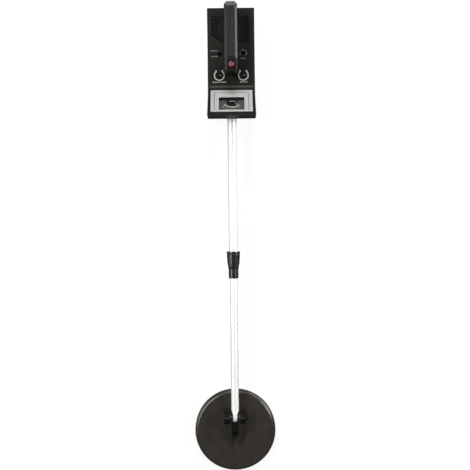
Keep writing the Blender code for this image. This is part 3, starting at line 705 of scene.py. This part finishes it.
def cross_screw(node, shank):
    """A pan head screw with a cross recess in its head, which is at its low end."""
    low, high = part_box(node)
    base, head, depth = low.z, (high.x - low.x) / 2, 0.0024
    profile = [(0, high.z), (shank * 0.7, high.z), (shank, high.z - 0.0012), (shank, base + depth + 0.0002)]
    profile += [(head, base + depth), (head, base + 0.0009), (head - 0.0003, base + 0.0004)]
    profile += [(head - 0.0012, base), (0, base)]
    screw = turned(node + "_detail", profile, upright(node), 32)
    x, y = middle(node)
    long, thin = 0.0019, 0.00035
    arms = [block("recess", (x - wide, y - deep, base - 0.001), (x + wide, y + deep, base + 0.0013))
            for wide, deep in ((long, thin), (thin, long))]
    cut(screw, *arms)
    return show(screw, CASE, "steel", SCREW_STEEL, node)


def foot(node):
    low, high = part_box(node)
    radius, edge = (high.x - low.x) / 2, 0.0013
    profile = [(0, high.z), (radius, high.z), (radius, edge + 0.0001)]
    profile += arc((radius - edge, edge), edge, 0, -90, 5)
    profile += [(0.0030, 0), (0.0026, 0.0005), (0, 0.0005)]
    return show(turned(node + "_detail", profile, upright(node), 48), CASE, "rubber", RUBBER, node)


# Prints on the panel


def dashes(centre_x, centre_y, width, height, pattern):
    """A row of generic blocks that stands for a printed label."""
    gap, low, high = 0.55, centre_y - height / 2, centre_y + height / 2
    unit = width / (sum(pattern) + gap * (len(pattern) - 1))
    x = centre_x - width / 2
    blocks = []
    for part in pattern:
        end = x + part * unit
        blocks.append(plate("label", [(x, low), (end, low), (end, high), (x, high)], PRINT_LOW, PRINT_HIGH))
        x += (part + gap) * unit
    return blocks


def scale_ring(side):
    """A printed ring round a knob, open at the rear, with a tick at each end of it."""
    x, y = JOINTS[f"{side}_knob_turn"]["pos_m"][:2]
    outer, inner, opening, tick = 0.0134, 0.0104, 31, 0.0036
    ring = arc((x, y), outer, 90 + opening, 450 - opening, 72)
    ring += arc((x, y), inner, 450 - opening, 90 + opening, 72)
    pieces = [plate("ring", ring, PRINT_LOW, PRINT_HIGH)]
    for sign in (-1, 1):
        angle = math.radians(90 + sign * opening)
        foot_x, foot_y = x + outer * math.cos(angle), y + outer * math.sin(angle)
        edge = foot_x - sign * tick
        outline = [(foot_x + sign * 0.0008, foot_y - 0.0012), (edge, foot_y + 0.0006),
                   (edge, foot_y + 0.0017), (foot_x + sign * 0.0010, foot_y + 0.0006)]
        pieces.append(plate("tick", outline if sign < 0 else outline[::-1], PRINT_LOW, PRINT_HIGH))
    return pieces


def panel_prints():
    """Scale rings round the knobs and rows of blocks for labels, as thin raised ink."""
    show_print("panel_prints", scale_ring("left") + scale_ring("right"), WHITE_INK)
    show_print("panel_labels", dashes(-0.0297, 0.3943, 0.033, 0.0030, (1.2, 1, 1.2, 1, 1, 1.2, 1, 1.2))
               + dashes(0.0302, 0.3943, 0.0175, 0.0030, (1.2, 1, 1, 1.2)), GREY_INK)
    show_print("switch_labels", dashes(-0.0423, 0.4715, 0.0175, 0.0029, (1.3, 1, 1, 1.3))
               + dashes(-0.0413, 0.4577, 0.0145, 0.0027, (1.2, 1, 1.2))
               + dashes(0.0299, 0.4527, 0.0110, 0.0026, (1.2, 1, 1)), LABEL_INK)


# Controls


def knob(side):
    """A skirted knob with a fluted grip and a pointer line."""
    centre = Vector(JOINTS[f"{side}_knob_turn"]["pos_m"])
    low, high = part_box(f"{side}_knob")
    skirt, grip, flutes, depth, top = (high.x - low.x) / 2, 0.0079, 24, 0.00045, high.z
    levels = [(skirt - 0.0003, low.z, 0), (skirt, low.z + 0.0004, 0), (skirt, 0.0731, 0)]
    levels += [(skirt - 0.0003, 0.0735, 0), (grip + 0.0002, 0.0742, 0), (grip, 0.0746, 0)]
    levels += [(grip, 0.0752, depth), (grip - 0.0001, top - 0.0012, depth)]
    levels += [(grip - 0.0005, top - 0.0004, 0), (grip - 0.0011, top, 0), (grip - 0.0019, top, 0)]
    levels += [(grip - 0.0022, top - 0.0004, 0)]
    rings = [[(centre.x + x, centre.y + y, z) for x, y in fluted(radius, wave, flutes, flutes * 8)]
             for radius, z, wave in levels]
    body = loft(f"{side}_knob_detail", rings)
    cut(body, drill(centre.x, centre.y, low.z - 0.002, 0.0805, 0.0034, 32))
    show(body, f"{side}_knob", SMOOTH, KNOB_PLASTIC, f"{side}_knob")
    heading = math.radians(-40 if side == "left" else -65)
    place = Matrix.Translation((centre.x, centre.y, 0)) @ Matrix.Rotation(heading, 4, "Z")
    half = 0.00045
    pointer = block(f"{side}_pointer", (0.0015, -half, top - 0.0006), (0.0056, half, top - 0.0001), place)
    show(pointer, f"{side}_knob", INK, GREY_INK)


def push_button():
    """A low domed button with a flange that keeps it in the handle."""
    rise, stem, flange = 0.0045, 0.0092, 0.0110
    profile = [(0, rise), (0.0024, rise - 0.0002), (0.0042, rise - 0.0008), (0.0056, rise - 0.0018)]
    profile += [(0.0070, 0.0014), (0.0082, 0.0002), (0.0089, -0.0008), (stem, -0.0018), (stem, -0.0052)]
    profile += [(flange, -0.0052), (flange, -0.0068), (0, -0.0068)]
    cap = turned("push_button_detail", profile, BUTTON, 64)
    return show(cap, "push_button", "red_plastic", RED, "push_button")


def mode_slider():
    low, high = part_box("mode_slider")
    body = soften(block("mode_slider_detail", low, high), 0.0005, 3)
    beyond, width, depth, pitch = 0.001, 0.0006, 0.0005, 0.0014
    ridges = []
    for i in range(3):
        y = low.y + 0.0013 + i * pitch
        ridges.append(block("ridge", (low.x - beyond, y, high.z - depth),
                            (high.x + beyond, y + width, high.z + beyond)))
    cut(body, *ridges)
    return show(body, "mode_slider", SMOOTH, BLACK, "mode_slider")


def headphone_jack():
    """The jack's body under the face and its notched ring nut on top."""
    low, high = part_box("headphone_jack")
    place = upright("headphone_jack")
    bore, neck, flange, shoulder, top = 0.0034, 0.0059, 0.0080, 0.0672, high.z
    profile = [(bore, top - 0.0006), (bore + 0.0006, top), (neck - 0.0005, top), (neck, top - 0.0005)]
    profile += [(neck, shoulder), (flange, shoulder), (flange, low.z), (bore, low.z)]
    show(turned("headphone_jack_detail", profile, place, 64), CASE, SMOOTH, BLACK, "headphone_jack")
    low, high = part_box("jack_nut")
    outer, inner, half = (high.x - low.x) / 2, 0.0064, 0.0009
    profile = [(inner + 0.0003, high.z), (outer - 0.0012, high.z), (outer - 0.0004, high.z - 0.0004)]
    profile += [(outer, high.z - 0.0010), (outer, low.z), (inner, low.z), (inner, high.z - 0.0003)]
    nut = turned("jack_nut_detail", profile, place, 96)
    notches = []
    for quarter in range(4):
        turn = place @ Matrix.Rotation(math.radians(45 + 90 * quarter), 4, "Z")
        near, far = (outer - 0.0012, -half, low.z + 0.0006), (outer + 0.001, half, 0.08)
        notches.append(block("notch", near, far, turn))
    cut(nut, *notches)
    return show(nut, CASE, "chrome", NUT_METAL, "jack_nut")


# Meter. Its place matrix has Y running down the slope and Z out of it.


def meter_bezel():
    """A silver frame with three nested grooves round the rear and sides of the window."""
    half, front, rear, base, top = 0.051, -0.080, -0.0105, GAP, 0.0035
    bezel = rounded_plate("meter_bezel_detail", (-half, front, half, rear), 0.0015, base, top, SLOPE)
    soften(bezel, 0.0007, 3)

    def around_window(side, back, width, low, high):
        """A band round the rear and both sides of the window, from its inner edge outwards."""
        x, y, end = half - side, rear - back, front + 0.0030
        outline = [(-x - width, end), (-x, end), (-x, y), (x, y), (x, end), (x + width, end)]
        outline += [(x + width, y + width), (-x - width, y + width)]
        return plate("band", outline, low, high, SLOPE)

    above = top + 0.002
    grooves = ((0.0056, 0.0036, 0.0010, 0.0007), (0.0104, 0.0090, 0.0018, 0.0010),
               (0.0150, 0.0138, 0.0010, 0.0007))
    cutters = [around_window(side, back, width, top - depth, above) for side, back, width, depth in grooves]
    tray, opening = (-0.0332, -0.0766, 0.0332, -0.0308), (-0.031, -0.0745, 0.031, -0.033)
    cutters.append(rounded_plate("tray", tray, 0.0008, top - 0.0006, above, SLOPE))
    cutters.append(rounded_plate("opening", opening, 0.001, -0.002, 0.008, SLOPE))
    cut(bezel, *cutters)
    soften(bezel, 0.00018, 2, 50)
    show(bezel, CASE, "silver_bezel", SILVER, "meter_bezel")
    # Painted shade: a dark strip in the floor of the middle groove, darkening it where shade falls.
    shade_strip = around_window(0.0102, 0.0088, 0.0014, top - 0.0010, top - 0.0009)
    shade_strip.name = "groove_painted_shade"
    show(shade_strip, CASE, SMOOTH, GROOVE_PAINTED_SHADE)


def meter_window():
    pane = rounded_plate("meter_window_detail", (-0.0307, -0.0742, 0.0307, -0.0333), 0.0008,
                         0.0009, 0.0024, SLOPE)
    return show(soften(pane, 0.0003, 2), CASE, "clear_plastic", CLEAR, "meter_window")


def meter_dial():
    """The dial card with a bowed scale, a dark sector inside it and its marks."""
    card = rounded_plate("meter_dial_detail", (-0.0309, -0.0744, 0.0309, -0.0331), 0.0006,
                         -0.0070, -0.0062, SLOPE)
    show(soften(card, 0.0001, 1), CASE, "dial_card", DIAL, "meter_dial")
    low, high = -0.00618, -0.00606
    sector = [(-0.0110, -0.0420), (-0.0098, -0.0525), (-0.0050, -0.0558), (0.0075, -0.0558),
              (0.0115, -0.0525), (0.0125, -0.0420)]
    show(plate("dial_sector", sector, low, high, SLOPE), CASE, SMOOTH, SLOPE_BLACK)
    centre, reach, half = Vector((0.0012, -0.0340)), 0.0232, 0.0011
    bow = arc(centre, reach + half, -143, -42, 36) + arc(centre, reach - half, -42, -143, 36)
    marks = [plate("dial_scale", bow, low, high, SLOPE)]
    for i in range(9):
        angle = math.radians(-136 + i * 11)
        way = Vector((math.cos(angle), math.sin(angle)))
        across = Vector((-way.y, way.x)) * 0.0004
        near = centre + way * (reach + 0.0024)
        far = near + way * (0.0030 if i % 2 == 0 else 0.0017)
        outline = [near - across, far - across, far + across, near + across]
        marks.append(plate("dial_mark", outline, low, high, SLOPE))
    wide, tall = 0.0013, 0.0010
    for x, y in ((-0.0200, -0.0560), (-0.0120, -0.0655), (-0.0030, -0.0662), (0.0070, -0.0655),
                 (0.0185, -0.0590)):
        sides = (x - wide, y - tall, x + wide, y + tall)
        marks.append(rounded_plate("dial_block", sides, 0.0004, low, high, SLOPE, 3))
    show_print("dial_marks", marks, DIAL_INK)


def meter_pivot_cover():
    """The dark cover over the needle's pivot, with a painted highlight along its front edge as a pale line.
    """
    half, front, rear, corner, top = 0.0145, -0.0450, -0.0335, 0.003, -0.0010
    outline = [(corner - half, front), (half - corner, front), (half, rear), (-half, rear)]
    cover = plate("meter_pivot_cover_detail", outline, -0.0035, top, SLOPE)
    show(soften(cover, 0.0007, 3), CASE, SMOOTH, SLOPE_BLACK, "meter_pivot_cover")
    # Painted highlight: a pale ink line along the cover's front edge.
    line = rounded_plate("pivot_cover_painted_highlight", (-0.0060, -0.0443, 0.0095, -0.0430), 0.0003,
                         top, top + 0.0001, SLOPE, 3)
    show(line, CASE, INK, DIAL_INK)


def meter_needle():
    hub_place = SLOPE @ Matrix.Translation((0, -0.0365, 0))
    top, base, radius = -0.0040, -0.0059, 0.0018
    profile = [(0, top), (0.0013, top), (radius, top - 0.0004), (radius, base), (0, base)]
    hub = turned("meter_needle_detail", profile, hub_place, 32)
    tail, middle, tip = (0.00055, 0.004), (0.00045, -0.018), (0.00012, -0.0275)
    left = [(-x, y) for x, y in (tail, middle, tip)]
    place = hub_place @ Matrix.Rotation(math.radians(45), 4, "Z")
    join(hub, plate("pointer", left + [tip, middle, tail], -0.0050, -0.0045, place))
    return show(hub, "meter_needle", INK, DIAL_INK, "meter_needle")


# Handle


def handle_half(side, sign):
    """Half of the handle: its outline, moved in step by step towards the side."""
    foot_z, top, under, steps = FACE_Z + GAP, HANDLE_TOP_Z, 0.112, 8
    outside = [(0.577, foot_z), (0.5735, top), (HANDLE_FRONT_Y, top), (SLOPE_LOW_Y, SLOPE_LOW_Z),
               (0.413, foot_z)]
    gap = [(0.437, foot_z), (0.437, under), (0.558, under), (0.558, foot_z)]
    radii = [0, 0.010, 0.004, 0.006, 0, 0, 0.010, 0.010, 0]
    outline = [Vector(point) for point in fillet(outside + gap, radii, steps)]
    outer_count = 2 + 3 * (steps + 1)
    rings = []
    for x, outer, inner in ((GAP / 2, 0, 0), (0.0098, 0, 0), (0.0105, 0.0002, 0), (0.0128, 0.0021, 0),
                            (0.0150, 0.0040, 0.0006), (0.0157, 0.0050, 0.0014), (0.0160, 0.0066, 0.0024)):
        points = moved_in(outline, outer)[:outer_count] + moved_in(outline, inner)[outer_count:]
        rings.append([(sign * x, y, foot_z if start.y <= foot_z else z)
                      for start, (y, z) in zip(outline, points)])
    half = loft(f"handle_{side}_detail", rings)
    cutters = [rounded_plate("cap_notch", (-0.0132, 0.5603, 0.0132, 0.5850), 0.003, 0.128, 0.150)]
    for low, high, radius in ((-0.012, 0.008, 0.0098), (-0.0012, 0.008, 0.0110), (-0.012, -0.0035, 0.0118)):
        ends = BUTTON @ Vector((0, 0, low)), BUTTON @ Vector((0, 0, high))
        cutters.append(rod("button_hole", *ends, radius, 64))
    cut(half, *cutters)
    return show(half, CASE, TEXTURED, HANDLE_PLASTIC, f"handle_{side}")


def grip_pad():
    """A pad with rounded ribs along its length and rounded ends."""
    half, base, top, ribs, per_rib = PAD_HIGH.x, PAD_LOW.z, PAD_HIGH.z, 6, 10
    pitch = 2 * half / ribs / per_rib
    near, far = [], []
    for inset, fullness in ((0, 0.25), (0.0004, 0.60), (0.0012, 0.90), (0.0026, 1.0)):
        section = [(-half, base), (half, base)]
        for i in range(ribs * per_rib + 1):
            x = half - i * pitch
            wave = 0.35 + 0.65 * abs(math.sin(math.pi * i / per_rib)) ** 0.6
            edge = max(0.25, min(1.0, (half - abs(x)) / 0.0012))
            section.append((x, base + (top - base) * wave * edge * fullness))
        near.append([(x, PAD_LOW.y + inset, z) for x, z in section])
        far.insert(0, [(x, PAD_HIGH.y - inset, z) for x, z in section])
    return show(loft("grip_pad_detail", near + far), CASE, "rubber", RUBBER, "grip_pad", sharp=50)


def handle_cap():
    low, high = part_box("handle_cap")
    # Its grey colour is a painted reflection: the glossy black end of the handle catching the rear light.
    cap = rounded_plate("handle_cap_detail", footprint("handle_cap"), 0.0050, low.z, high.z, FLAT, 10)
    soften(cap, 0.0042, 6, 50)
    return show(cap, CASE, "grey_plastic", CAP_PAINTED_REFLECTION, "handle_cap")


# Stem


def upper_tube():
    inner, outer = 0.0099, UPPER_HIGH.x
    low, high, edge = UPPER_LOW.y, UPPER_HIGH.y, 0.0003
    profile = [(inner, high - edge), (inner + edge, high), (outer - edge, high), (outer, high - edge)]
    profile += [(outer, low + edge), (outer - edge, low), (inner + edge, low), (inner, low + edge)]
    tube = turned("upper_tube_detail", profile, ALONG_STEM, 128)
    return show(tube, CASE, "satin_aluminium", TUBE, "upper_tube")


def lower_tube():
    """A round tube pressed flat at its far end, which is rounded about the tilt bolt."""
    r, flat, tall, points, steps, tip_steps = 0.009525, 0.00625, 0.0106, 96, 10, 12
    start, end, shoulder, tip = PIVOT.y + 0.0210, PIVOT.y + 0.0060, PIVOT.y + 0.0005, LOWER_LOW.y
    round_section, flat_section = 1.0, 0.55
    stations = [(LOWER_HIGH.y, r, r, round_section), (start + 0.002, r, r, round_section)]
    for i in range(steps + 1):
        t = i / steps
        ease = t * t * (3 - 2 * t)
        y = start + (end - start) * t
        stations.append((y, r + (flat - r) * ease, r + (tall - r) * ease, 1 - 0.45 * ease))
    stations.append((shoulder, flat, tall, flat_section))
    reach = shoulder - tip
    for i in range(1, tip_steps):
        angle = math.radians(90 * i / tip_steps)
        shrink = 0.0004 * max(0, i - 8)
        y = shoulder - reach * math.sin(angle)
        stations.append((y, flat - shrink, tall * math.cos(angle), flat_section))
    rings = []
    for y, half_width, half_height, fullness in stations:
        ring = []
        for i in range(points):
            angle = 2 * math.pi * i / points
            side = math.copysign(abs(math.cos(angle)) ** fullness, math.cos(angle))
            ring.append((half_width * side, y, STEM_Z + half_height * math.sin(angle)))
        rings.append(ring)
    tube = loft("lower_tube_detail", rings)
    bore = rod("bore", (0, start + 0.007, STEM_Z), (0, LOWER_HIGH.y + 0.002, STEM_Z), r - 0.0012, 64)
    cut(tube, bore, bolt_hole(-0.02, 0.02))
    return show(tube, "lower_stem", "satin_aluminium", TUBE, "lower_tube", sharp=40)


def collar():
    """The locking collar: a rim with a groove, a fluted taper and a smooth tail."""
    high, low = COLLAR_HIGH.y, COLLAR_LOW.y
    rim, waist, tail, flutes, wave = COLLAR_HIGH.x, 0.0139, 0.0123, 24, 0.00018
    # Radius, distance from the rim's end and depth of the flutes, along the outside
    outside = [(0.0115, 0, 0), (rim - 0.0012, 0, 0), (rim - 0.0004, 0.0003, 0), (rim, 0.0010, 0),
               (rim, 0.0045, 0), (rim - 0.0003, 0.0050, 0), (rim - 0.0013, 0.0054, 0),
               (rim - 0.0013, 0.0056, 0), (rim - 0.0003, 0.0074, 0), (rim - 0.0002, 0.0085, 0),
               (rim - 0.0004, 0.0100, wave), (0.0150, 0.0300, wave), (0.0149, 0.0315, 0),
               (0.0147, 0.0325, 0), (waist + 0.0002, 0.0329, 0), (waist, 0.0333, 0), (waist, 0.0370, 0),
               (waist - 0.0003, 0.0380, 0), (tail + 0.0002, 0.0435, 0), (tail, 0.0450, 0)]
    # Radius and distance from the tail's end, round that end and along the inside
    inside = [(tail, 0.0020), (tail - 0.0003, 0.0010), (tail - 0.0008, 0.0003), (tail - 0.0014, 0),
              (0.0099, 0), (0.0099, 0.0025), (0.0112, 0.003), (0.0112, 0.0305), (0.0130, 0.032)]
    levels = [(radius, high - back, depth) for radius, back, depth in outside]
    levels += [(radius, low + ahead, 0) for radius, ahead in inside]
    levels += [(0.0130, high - 0.0022, 0), (0.0115, high - 0.0022, 0)]
    rings = [[(x, y, STEM_Z + z) for x, z in fluted(radius, depth, flutes, flutes * 8)]
             for radius, y, depth in levels]
    body = loft("collar_detail", rings, hollow=True)
    return show(body, "locking_collar", SMOOTH, COLLAR_PLASTIC, "collar")


# Search coil


def coil_shell():
    """The round upper shell of the coil, with the two ears that hold the tilt bolt."""
    centre_y, r = (COIL_LOW.y + COIL_HIGH.y) / 2, (COIL_HIGH.x - COIL_LOW.x) / 2
    base, top, wall, shoulder = COIL_LOW.z, 0.022, 0.0025, 0.0062
    start, crest, roll, first, last = r - 0.0076, 0.0013, 0.0146, 20, 52
    profile = [(0, top), (start - 0.0004, top)] + arc((start, top - crest), crest, 88, 90 - first, 4)
    turn = math.radians(first)
    centre = (profile[-1][0] - roll * math.sin(turn), profile[-1][1] - roll * math.cos(turn))
    profile += arc(centre, roll, 90 - first, 90 - last, 12)[1:]
    profile += [(r, profile[-1][1] - 0.0009)]
    profile += [(r, base + 0.0010), (r - 0.0003, base + 0.0003), (r - 0.0006, base), (r - wall, base)]
    profile += [(r - wall, top - shoulder), (r - shoulder, top - wall), (0, top - wall)]
    shell = turned("coil_shell_detail", profile, Matrix.Translation((0, centre_y, 0)), 160)
    radius, front = 0.011, -0.5195
    toward = Vector((front - PIVOT.y, top - STEM_Z))
    lean = math.degrees(math.atan2(-toward.y, -toward.x))
    tangent = 180 + lean - math.degrees(math.acos(radius / toward.length))
    outline = [(PIVOT.y + radius, top - 0.0015)] + arc((PIVOT.y, STEM_Z), radius, 0, tangent, 20)
    outline += [(front, top + 0.0005), (front, top - 0.0015)]
    for near, far in ((-0.0128, -0.0098), (0.0098, 0.0128)):
        join(shell, soften(plate("ear", outline, near, far, SIDE_VIEW), 0.0006, 3))
    cut(shell, bolt_hole(-0.02, 0.02))
    return show(shell, "search_coil", "coil_plastic", COIL_PLASTIC, "coil_shell")


def coil_cover():
    """The flat lower cover of the coil, with three ring grooves underneath."""
    centre_y, r = (COVER_LOW.y + COVER_HIGH.y) / 2, (COVER_HIGH.x - COVER_LOW.x) / 2
    inner_z, ledge, rib, lip, top = 0.003, 0.0047, 0.0055, 0.0031, COVER_HIGH.z
    profile = [(0, inner_z), (r - rib, inner_z), (r - rib, top), (r - lip, top), (r - lip, ledge)]
    profile += [(r - 0.0003, ledge), (r, ledge - 0.0003)]
    profile += arc((r - 0.0015, 0.0015), 0.0015, 0, -90, 6)
    for ring_radius in (0.085, 0.060, 0.035):
        wide, narrow, depth = 0.0012, 0.0008, 0.0006
        profile += [(ring_radius + wide, 0), (ring_radius + narrow, depth), (ring_radius - narrow, depth)]
        profile += [(ring_radius - wide, 0)]
    profile += [(0, 0)]
    cover = turned("coil_cover_detail", profile, Matrix.Translation((0, centre_y, 0)), 160)
    return show(cover, "search_coil", "coil_plastic", COIL_PLASTIC, "coil_cover")


def thumb_shape(name, low, high, dish_side):
    """A scalloped hand knob with rounded rims and a dished outer face."""
    body = soften(plate(name, scallops(0.0155, 0.0018, 8), low, high, ALONG_BOLT), 0.0015, 4, 50)
    start, end = (high - 0.0012, high + 0.005) if dish_side > 0 else (low - 0.005, low + 0.0012)
    cut(body, rod("dish", ALONG_BOLT @ Vector((0, 0, start)), ALONG_BOLT @ Vector((0, 0, end)), 0.0105, 64))
    return body


def tilt_hardware():
    """The bolt that the coil tilts on and its thumb nut."""
    low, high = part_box("tilt_bolt")
    bolt = thumb_shape("tilt_bolt_detail", low.x, -0.0131, -1)
    shaft = [(0, high.x), (0.0023, high.x), (0.0029, high.x - 0.0006), (0.0029, -0.018), (0, -0.018)]
    hub = [(0, low.x + 0.004), (0.0075, low.x + 0.004), (0.0075, low.x + 0.0006), (0.0070, low.x)]
    hub += [(0, low.x)]
    join(bolt, turned("shaft", shaft, ALONG_BOLT, 48), turned("hub", hub, ALONG_BOLT, 48))
    show(bolt, "search_coil", SMOOTH, KNOB_PLASTIC, "tilt_bolt")
    low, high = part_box("thumb_nut")
    nut = thumb_shape("thumb_nut_detail", low.x, 0.0255, 1)
    boss = [(0, high.x), (0.0068, high.x), (0.0075, high.x - 0.0007), (0.0075, 0.020), (0, 0.020)]
    join(nut, turned("boss", boss, ALONG_BOLT, 48))
    cut(nut, bolt_hole(0.01, 0.035))
    show(nut, "thumb_nut", SMOOTH, KNOB_PLASTIC, "thumb_nut")


def washer(node):
    low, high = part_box(node)
    outer, edge = (high.y - low.y) / 2, 0.0004
    profile = [(BOLT_BORE, high.x), (outer - edge, high.x), (outer, high.x - edge), (outer, low.x + edge)]
    profile += [(outer - edge, low.x), (BOLT_BORE, low.x)]
    body = turned(node + "_detail", profile, ALONG_BOLT, 48)
    return show(body, "search_coil", "rubber", RUBBER, node)


def lead_grommet():
    """A ribbed rubber sleeve on a wider foot."""
    low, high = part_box("lead_grommet")
    bore, foot_radius, top = 0.0022, 0.0060, high.z
    profile = [(bore, top), (0.0032, top), (0.0035, top - 0.0004)]
    for rib in range(3):
        drop = rib * 0.0008
        profile += [(0.0036, top - 0.0012 - drop), (0.0031, top - 0.0016 - drop)]
    profile += [(0.0042, top - 0.0037), (0.0055, top - 0.0041), (foot_radius, top - 0.0046)]
    profile += [(foot_radius, low.z), (bore, low.z)]
    body = turned("lead_grommet_detail", profile, upright("lead_grommet"), 48)
    return show(body, "search_coil", "rubber", RUBBER, "lead_grommet")


# Inner pieces keep their CAD shapes


def finish_inner_parts():
    """Gives the CAD shapes of the inner pieces their materials."""
    finishes = (
        (NYLON, ("guide_bush", "threaded_bush", "split_collet")),
        (BLACK, ("stem_clamp", "battery_tray", "speaker_basket", "button_switch", "meter_case")),
        (BATTERY, ("battery_front", "battery_rear")),
        (STEEL, ("left_potentiometer", "right_potentiometer", "left_knob_shaft", "right_knob_shaft",
                 "meter_movement")),
        (COPPER, ("transmit_winding", "receive_winding")),
        (DARK_STEEL, ("switch_body",)),
        (BOARD, ("main_board",)),
        (CONE, ("speaker_cone",)),
    )
    for material, nodes in finishes:
        for node in nodes:
            dress(NODES[node], material)


# Floor, lights and camera


def floor():
    """A pale floor that looks white but throws only a mild light up at the object."""
    shape = bmesh.new()
    bmesh.ops.create_grid(shape, x_segments=1, y_segments=1, size=6.0)
    obj = add("floor", mesh_of("floor", shape))
    surface = Surface("pale floor", (0.10, 0.10, 0.0995), 0.9)
    surface.set("Specular IOR Level", 0.0)
    surface.set("Emission Color", (1.0, 1.0, 1.0, 1.0))
    seen = surface.node("ShaderNodeLightPath").outputs["Is Camera Ray"]
    glow_to_light, glow_to_camera = 0.06, 0.90
    glow = surface.ranged(seen, glow_to_light, glow_to_camera)
    surface.link(glow, surface.shader.inputs["Emission Strength"])
    obj.data.materials.append(surface.material)


def softbox(name, azimuth, elevation, distance, width, height, power):
    """A soft rectangular light, aimed at the middle of the object from two angles in degrees."""
    light = bpy.data.lights.new(name, "AREA")
    light.shape = "RECTANGLE"
    light.size = width
    light.size_y = height
    light.energy = power
    turn, rise = math.radians(azimuth), math.radians(elevation)
    way = Vector((math.cos(rise) * math.cos(turn), math.cos(rise) * math.sin(turn), math.sin(rise)))
    place = way * distance
    obj = place_in_scene(name, light)
    obj.location = place
    obj.rotation_euler = (Vector((0, 0, 0.05)) - place).to_track_quat("-Z", "Y").to_euler()


def backdrop():
    """A world that looks white to the camera but lights the object only dimly."""
    world = bpy.data.worlds.new("studio")
    bpy.context.scene.world = world
    world.use_nodes = True
    nodes, links = world.node_tree.nodes, world.node_tree.links
    background = nodes["Background"]
    background.inputs["Color"].default_value = (1.0, 1.0, 1.0, 1.0)
    seen = nodes.new("ShaderNodeLightPath").outputs["Is Camera Ray"]
    strength = nodes.new("ShaderNodeMapRange")
    strength.inputs["To Min"].default_value = 0.20
    strength.inputs["To Max"].default_value = 1.0
    links.new(seen, strength.inputs["Value"])
    links.new(strength.outputs["Result"], background.inputs["Strength"])


def lights():
    softbox("left light", 165, 48, 3.0, 2.6, 0.7, 66)
    softbox("right light", 8, 38, 3.0, 1.0, 0.8, 42)
    softbox("rear light", 92, 36, 3.0, 0.9, 0.6, 36)
    softbox("low right light", 32, 12, 2.3, 2.6, 0.6, 34)
    softbox("low left light", 176, 13, 2.4, 2.2, 0.6, 10)


def camera():
    """Looks straight down, turned a little about the view's axis."""
    height, focal_length, lean = 1.9, 56.9, math.radians(-0.66)
    data = bpy.data.cameras.new("camera")
    data.lens = focal_length
    data.sensor_width = 36.0
    obj = place_in_scene("camera", data)
    obj.location = (0.0046, 0.0175, height)
    obj.rotation_euler = (0, 0, lean)
    bpy.context.scene.camera = obj


# Build

PANEL = grained_plastic("panel plastic", (0.0088, 0.0088, 0.0075), 0.55, 0.0011, 0.00007, 0.15)
SLOPE_BLACK = grained_plastic("slope plastic", (0.0035, 0.0035, 0.0030), 0.60, 0.0009, 0.00003, 0.08)
FACE = grained_plastic("face plastic", (0.0052, 0.0053, 0.0040), 0.50, 0.0009, 0.00003, 0.11)
HANDLE_PLASTIC = grained_plastic("handle plastic", (0.008, 0.008, 0.0078), 0.30, 0.0009, 0.00002, 0.40)
BLACK = smooth_plastic("black plastic", (0.003, 0.003, 0.0026), 0.40, 0.25)
KNOB_PLASTIC = smooth_plastic("knob plastic", (0.0025, 0.0025, 0.0020), 0.42, 0.16)
COLLAR_PLASTIC = smooth_plastic("collar plastic", (0.007, 0.007, 0.0055), 0.24)
COIL_PLASTIC = smooth_plastic("coil plastic", (0.022, 0.0185, 0.0145), 0.26, 0.5)
# Grey standing in for a painted reflection on the black handle cap.
CAP_PAINTED_REFLECTION = smooth_plastic("grey plastic", (0.075, 0.075, 0.071), 0.42, 0.35)
RUBBER = rubber("rubber", (0.0095, 0.0095, 0.0090))
RED = red_button("red plastic")
NYLON = smooth_plastic("nylon", (0.60, 0.58, 0.52), 0.50)
CLEAR = clear_plastic("clear plastic")
TUBE = drawn_metal("satin aluminium", (0.95, 0.95, 0.94), 0.46, 0.55)
SILVER = silver_finish("silver finish", (0.405, 0.405, 0.392))
# Dark ink for the painted shade in the bezel's groove.
GROOVE_PAINTED_SHADE = print_ink("painted groove shade", (0.12, 0.12, 0.115))
STEEL = plain_metal("steel", (0.55, 0.55, 0.56), 0.35)
SCREW_STEEL = plain_metal("screw steel", (0.50, 0.50, 0.50), 0.30)
DARK_STEEL = plain_metal("painted steel", (0.03, 0.03, 0.03), 0.50)
NUT_METAL = plain_metal("nut metal", (0.08, 0.08, 0.078), 0.36)
BATTERY = plain_metal("battery case", (0.50, 0.50, 0.52), 0.35)
WHITE_INK = print_ink("white ink", (0.42, 0.42, 0.39))
LABEL_INK = print_ink("label ink", (0.13, 0.13, 0.12))
DIAL_INK = print_ink("dial ink", (0.42, 0.42, 0.40))
# Paler plastic for the painted highlight along the foot of the hump.
CREASE_PAINTED_HIGHLIGHT = grained_plastic("paler plastic with painted highlight", (0.030, 0.030, 0.027), 0.55, 0.0011, 0.00004, 0.20)
GREY_INK = print_ink("grey ink", (0.29, 0.29, 0.27))
DIAL = print_ink("dial card", (0.054, 0.054, 0.050))
CONE = rubber("speaker paper", (0.012, 0.012, 0.011))
BOARD = circuit_board("circuit board")
COPPER = wound_copper("copper wire")

CORNERS = ("front_left", "front_right", "rear_left", "rear_right")
SCREWS = [middle(f"case_screw_{corner}") for corner in CORNERS]

camera()
backdrop()
lights()
floor()
top_case()
face_plate()
crease_strip()
slope_plate()
bottom_case()
battery_door()
for corner in CORNERS:
    foot(f"foot_{corner}")
    cross_screw(f"case_screw_{corner}", 0.0016)
    cross_screw(f"handle_screw_{corner}", 0.0015)
panel_prints()
knob("left")
knob("right")
push_button()
mode_slider()
headphone_jack()
meter_bezel()
meter_window()
meter_dial()
meter_pivot_cover()
meter_needle()
handle_half("left", -1)
handle_half("right", 1)
grip_pad()
handle_cap()
upper_tube()
lower_tube()
collar()
coil_shell()
coil_cover()
tilt_hardware()
washer("washer_left")
washer("washer_right")
lead_grommet()
finish_inner_parts()

bpy.context.scene.view_settings.view_transform = "Standard"
bpy.context.view_layer.update()
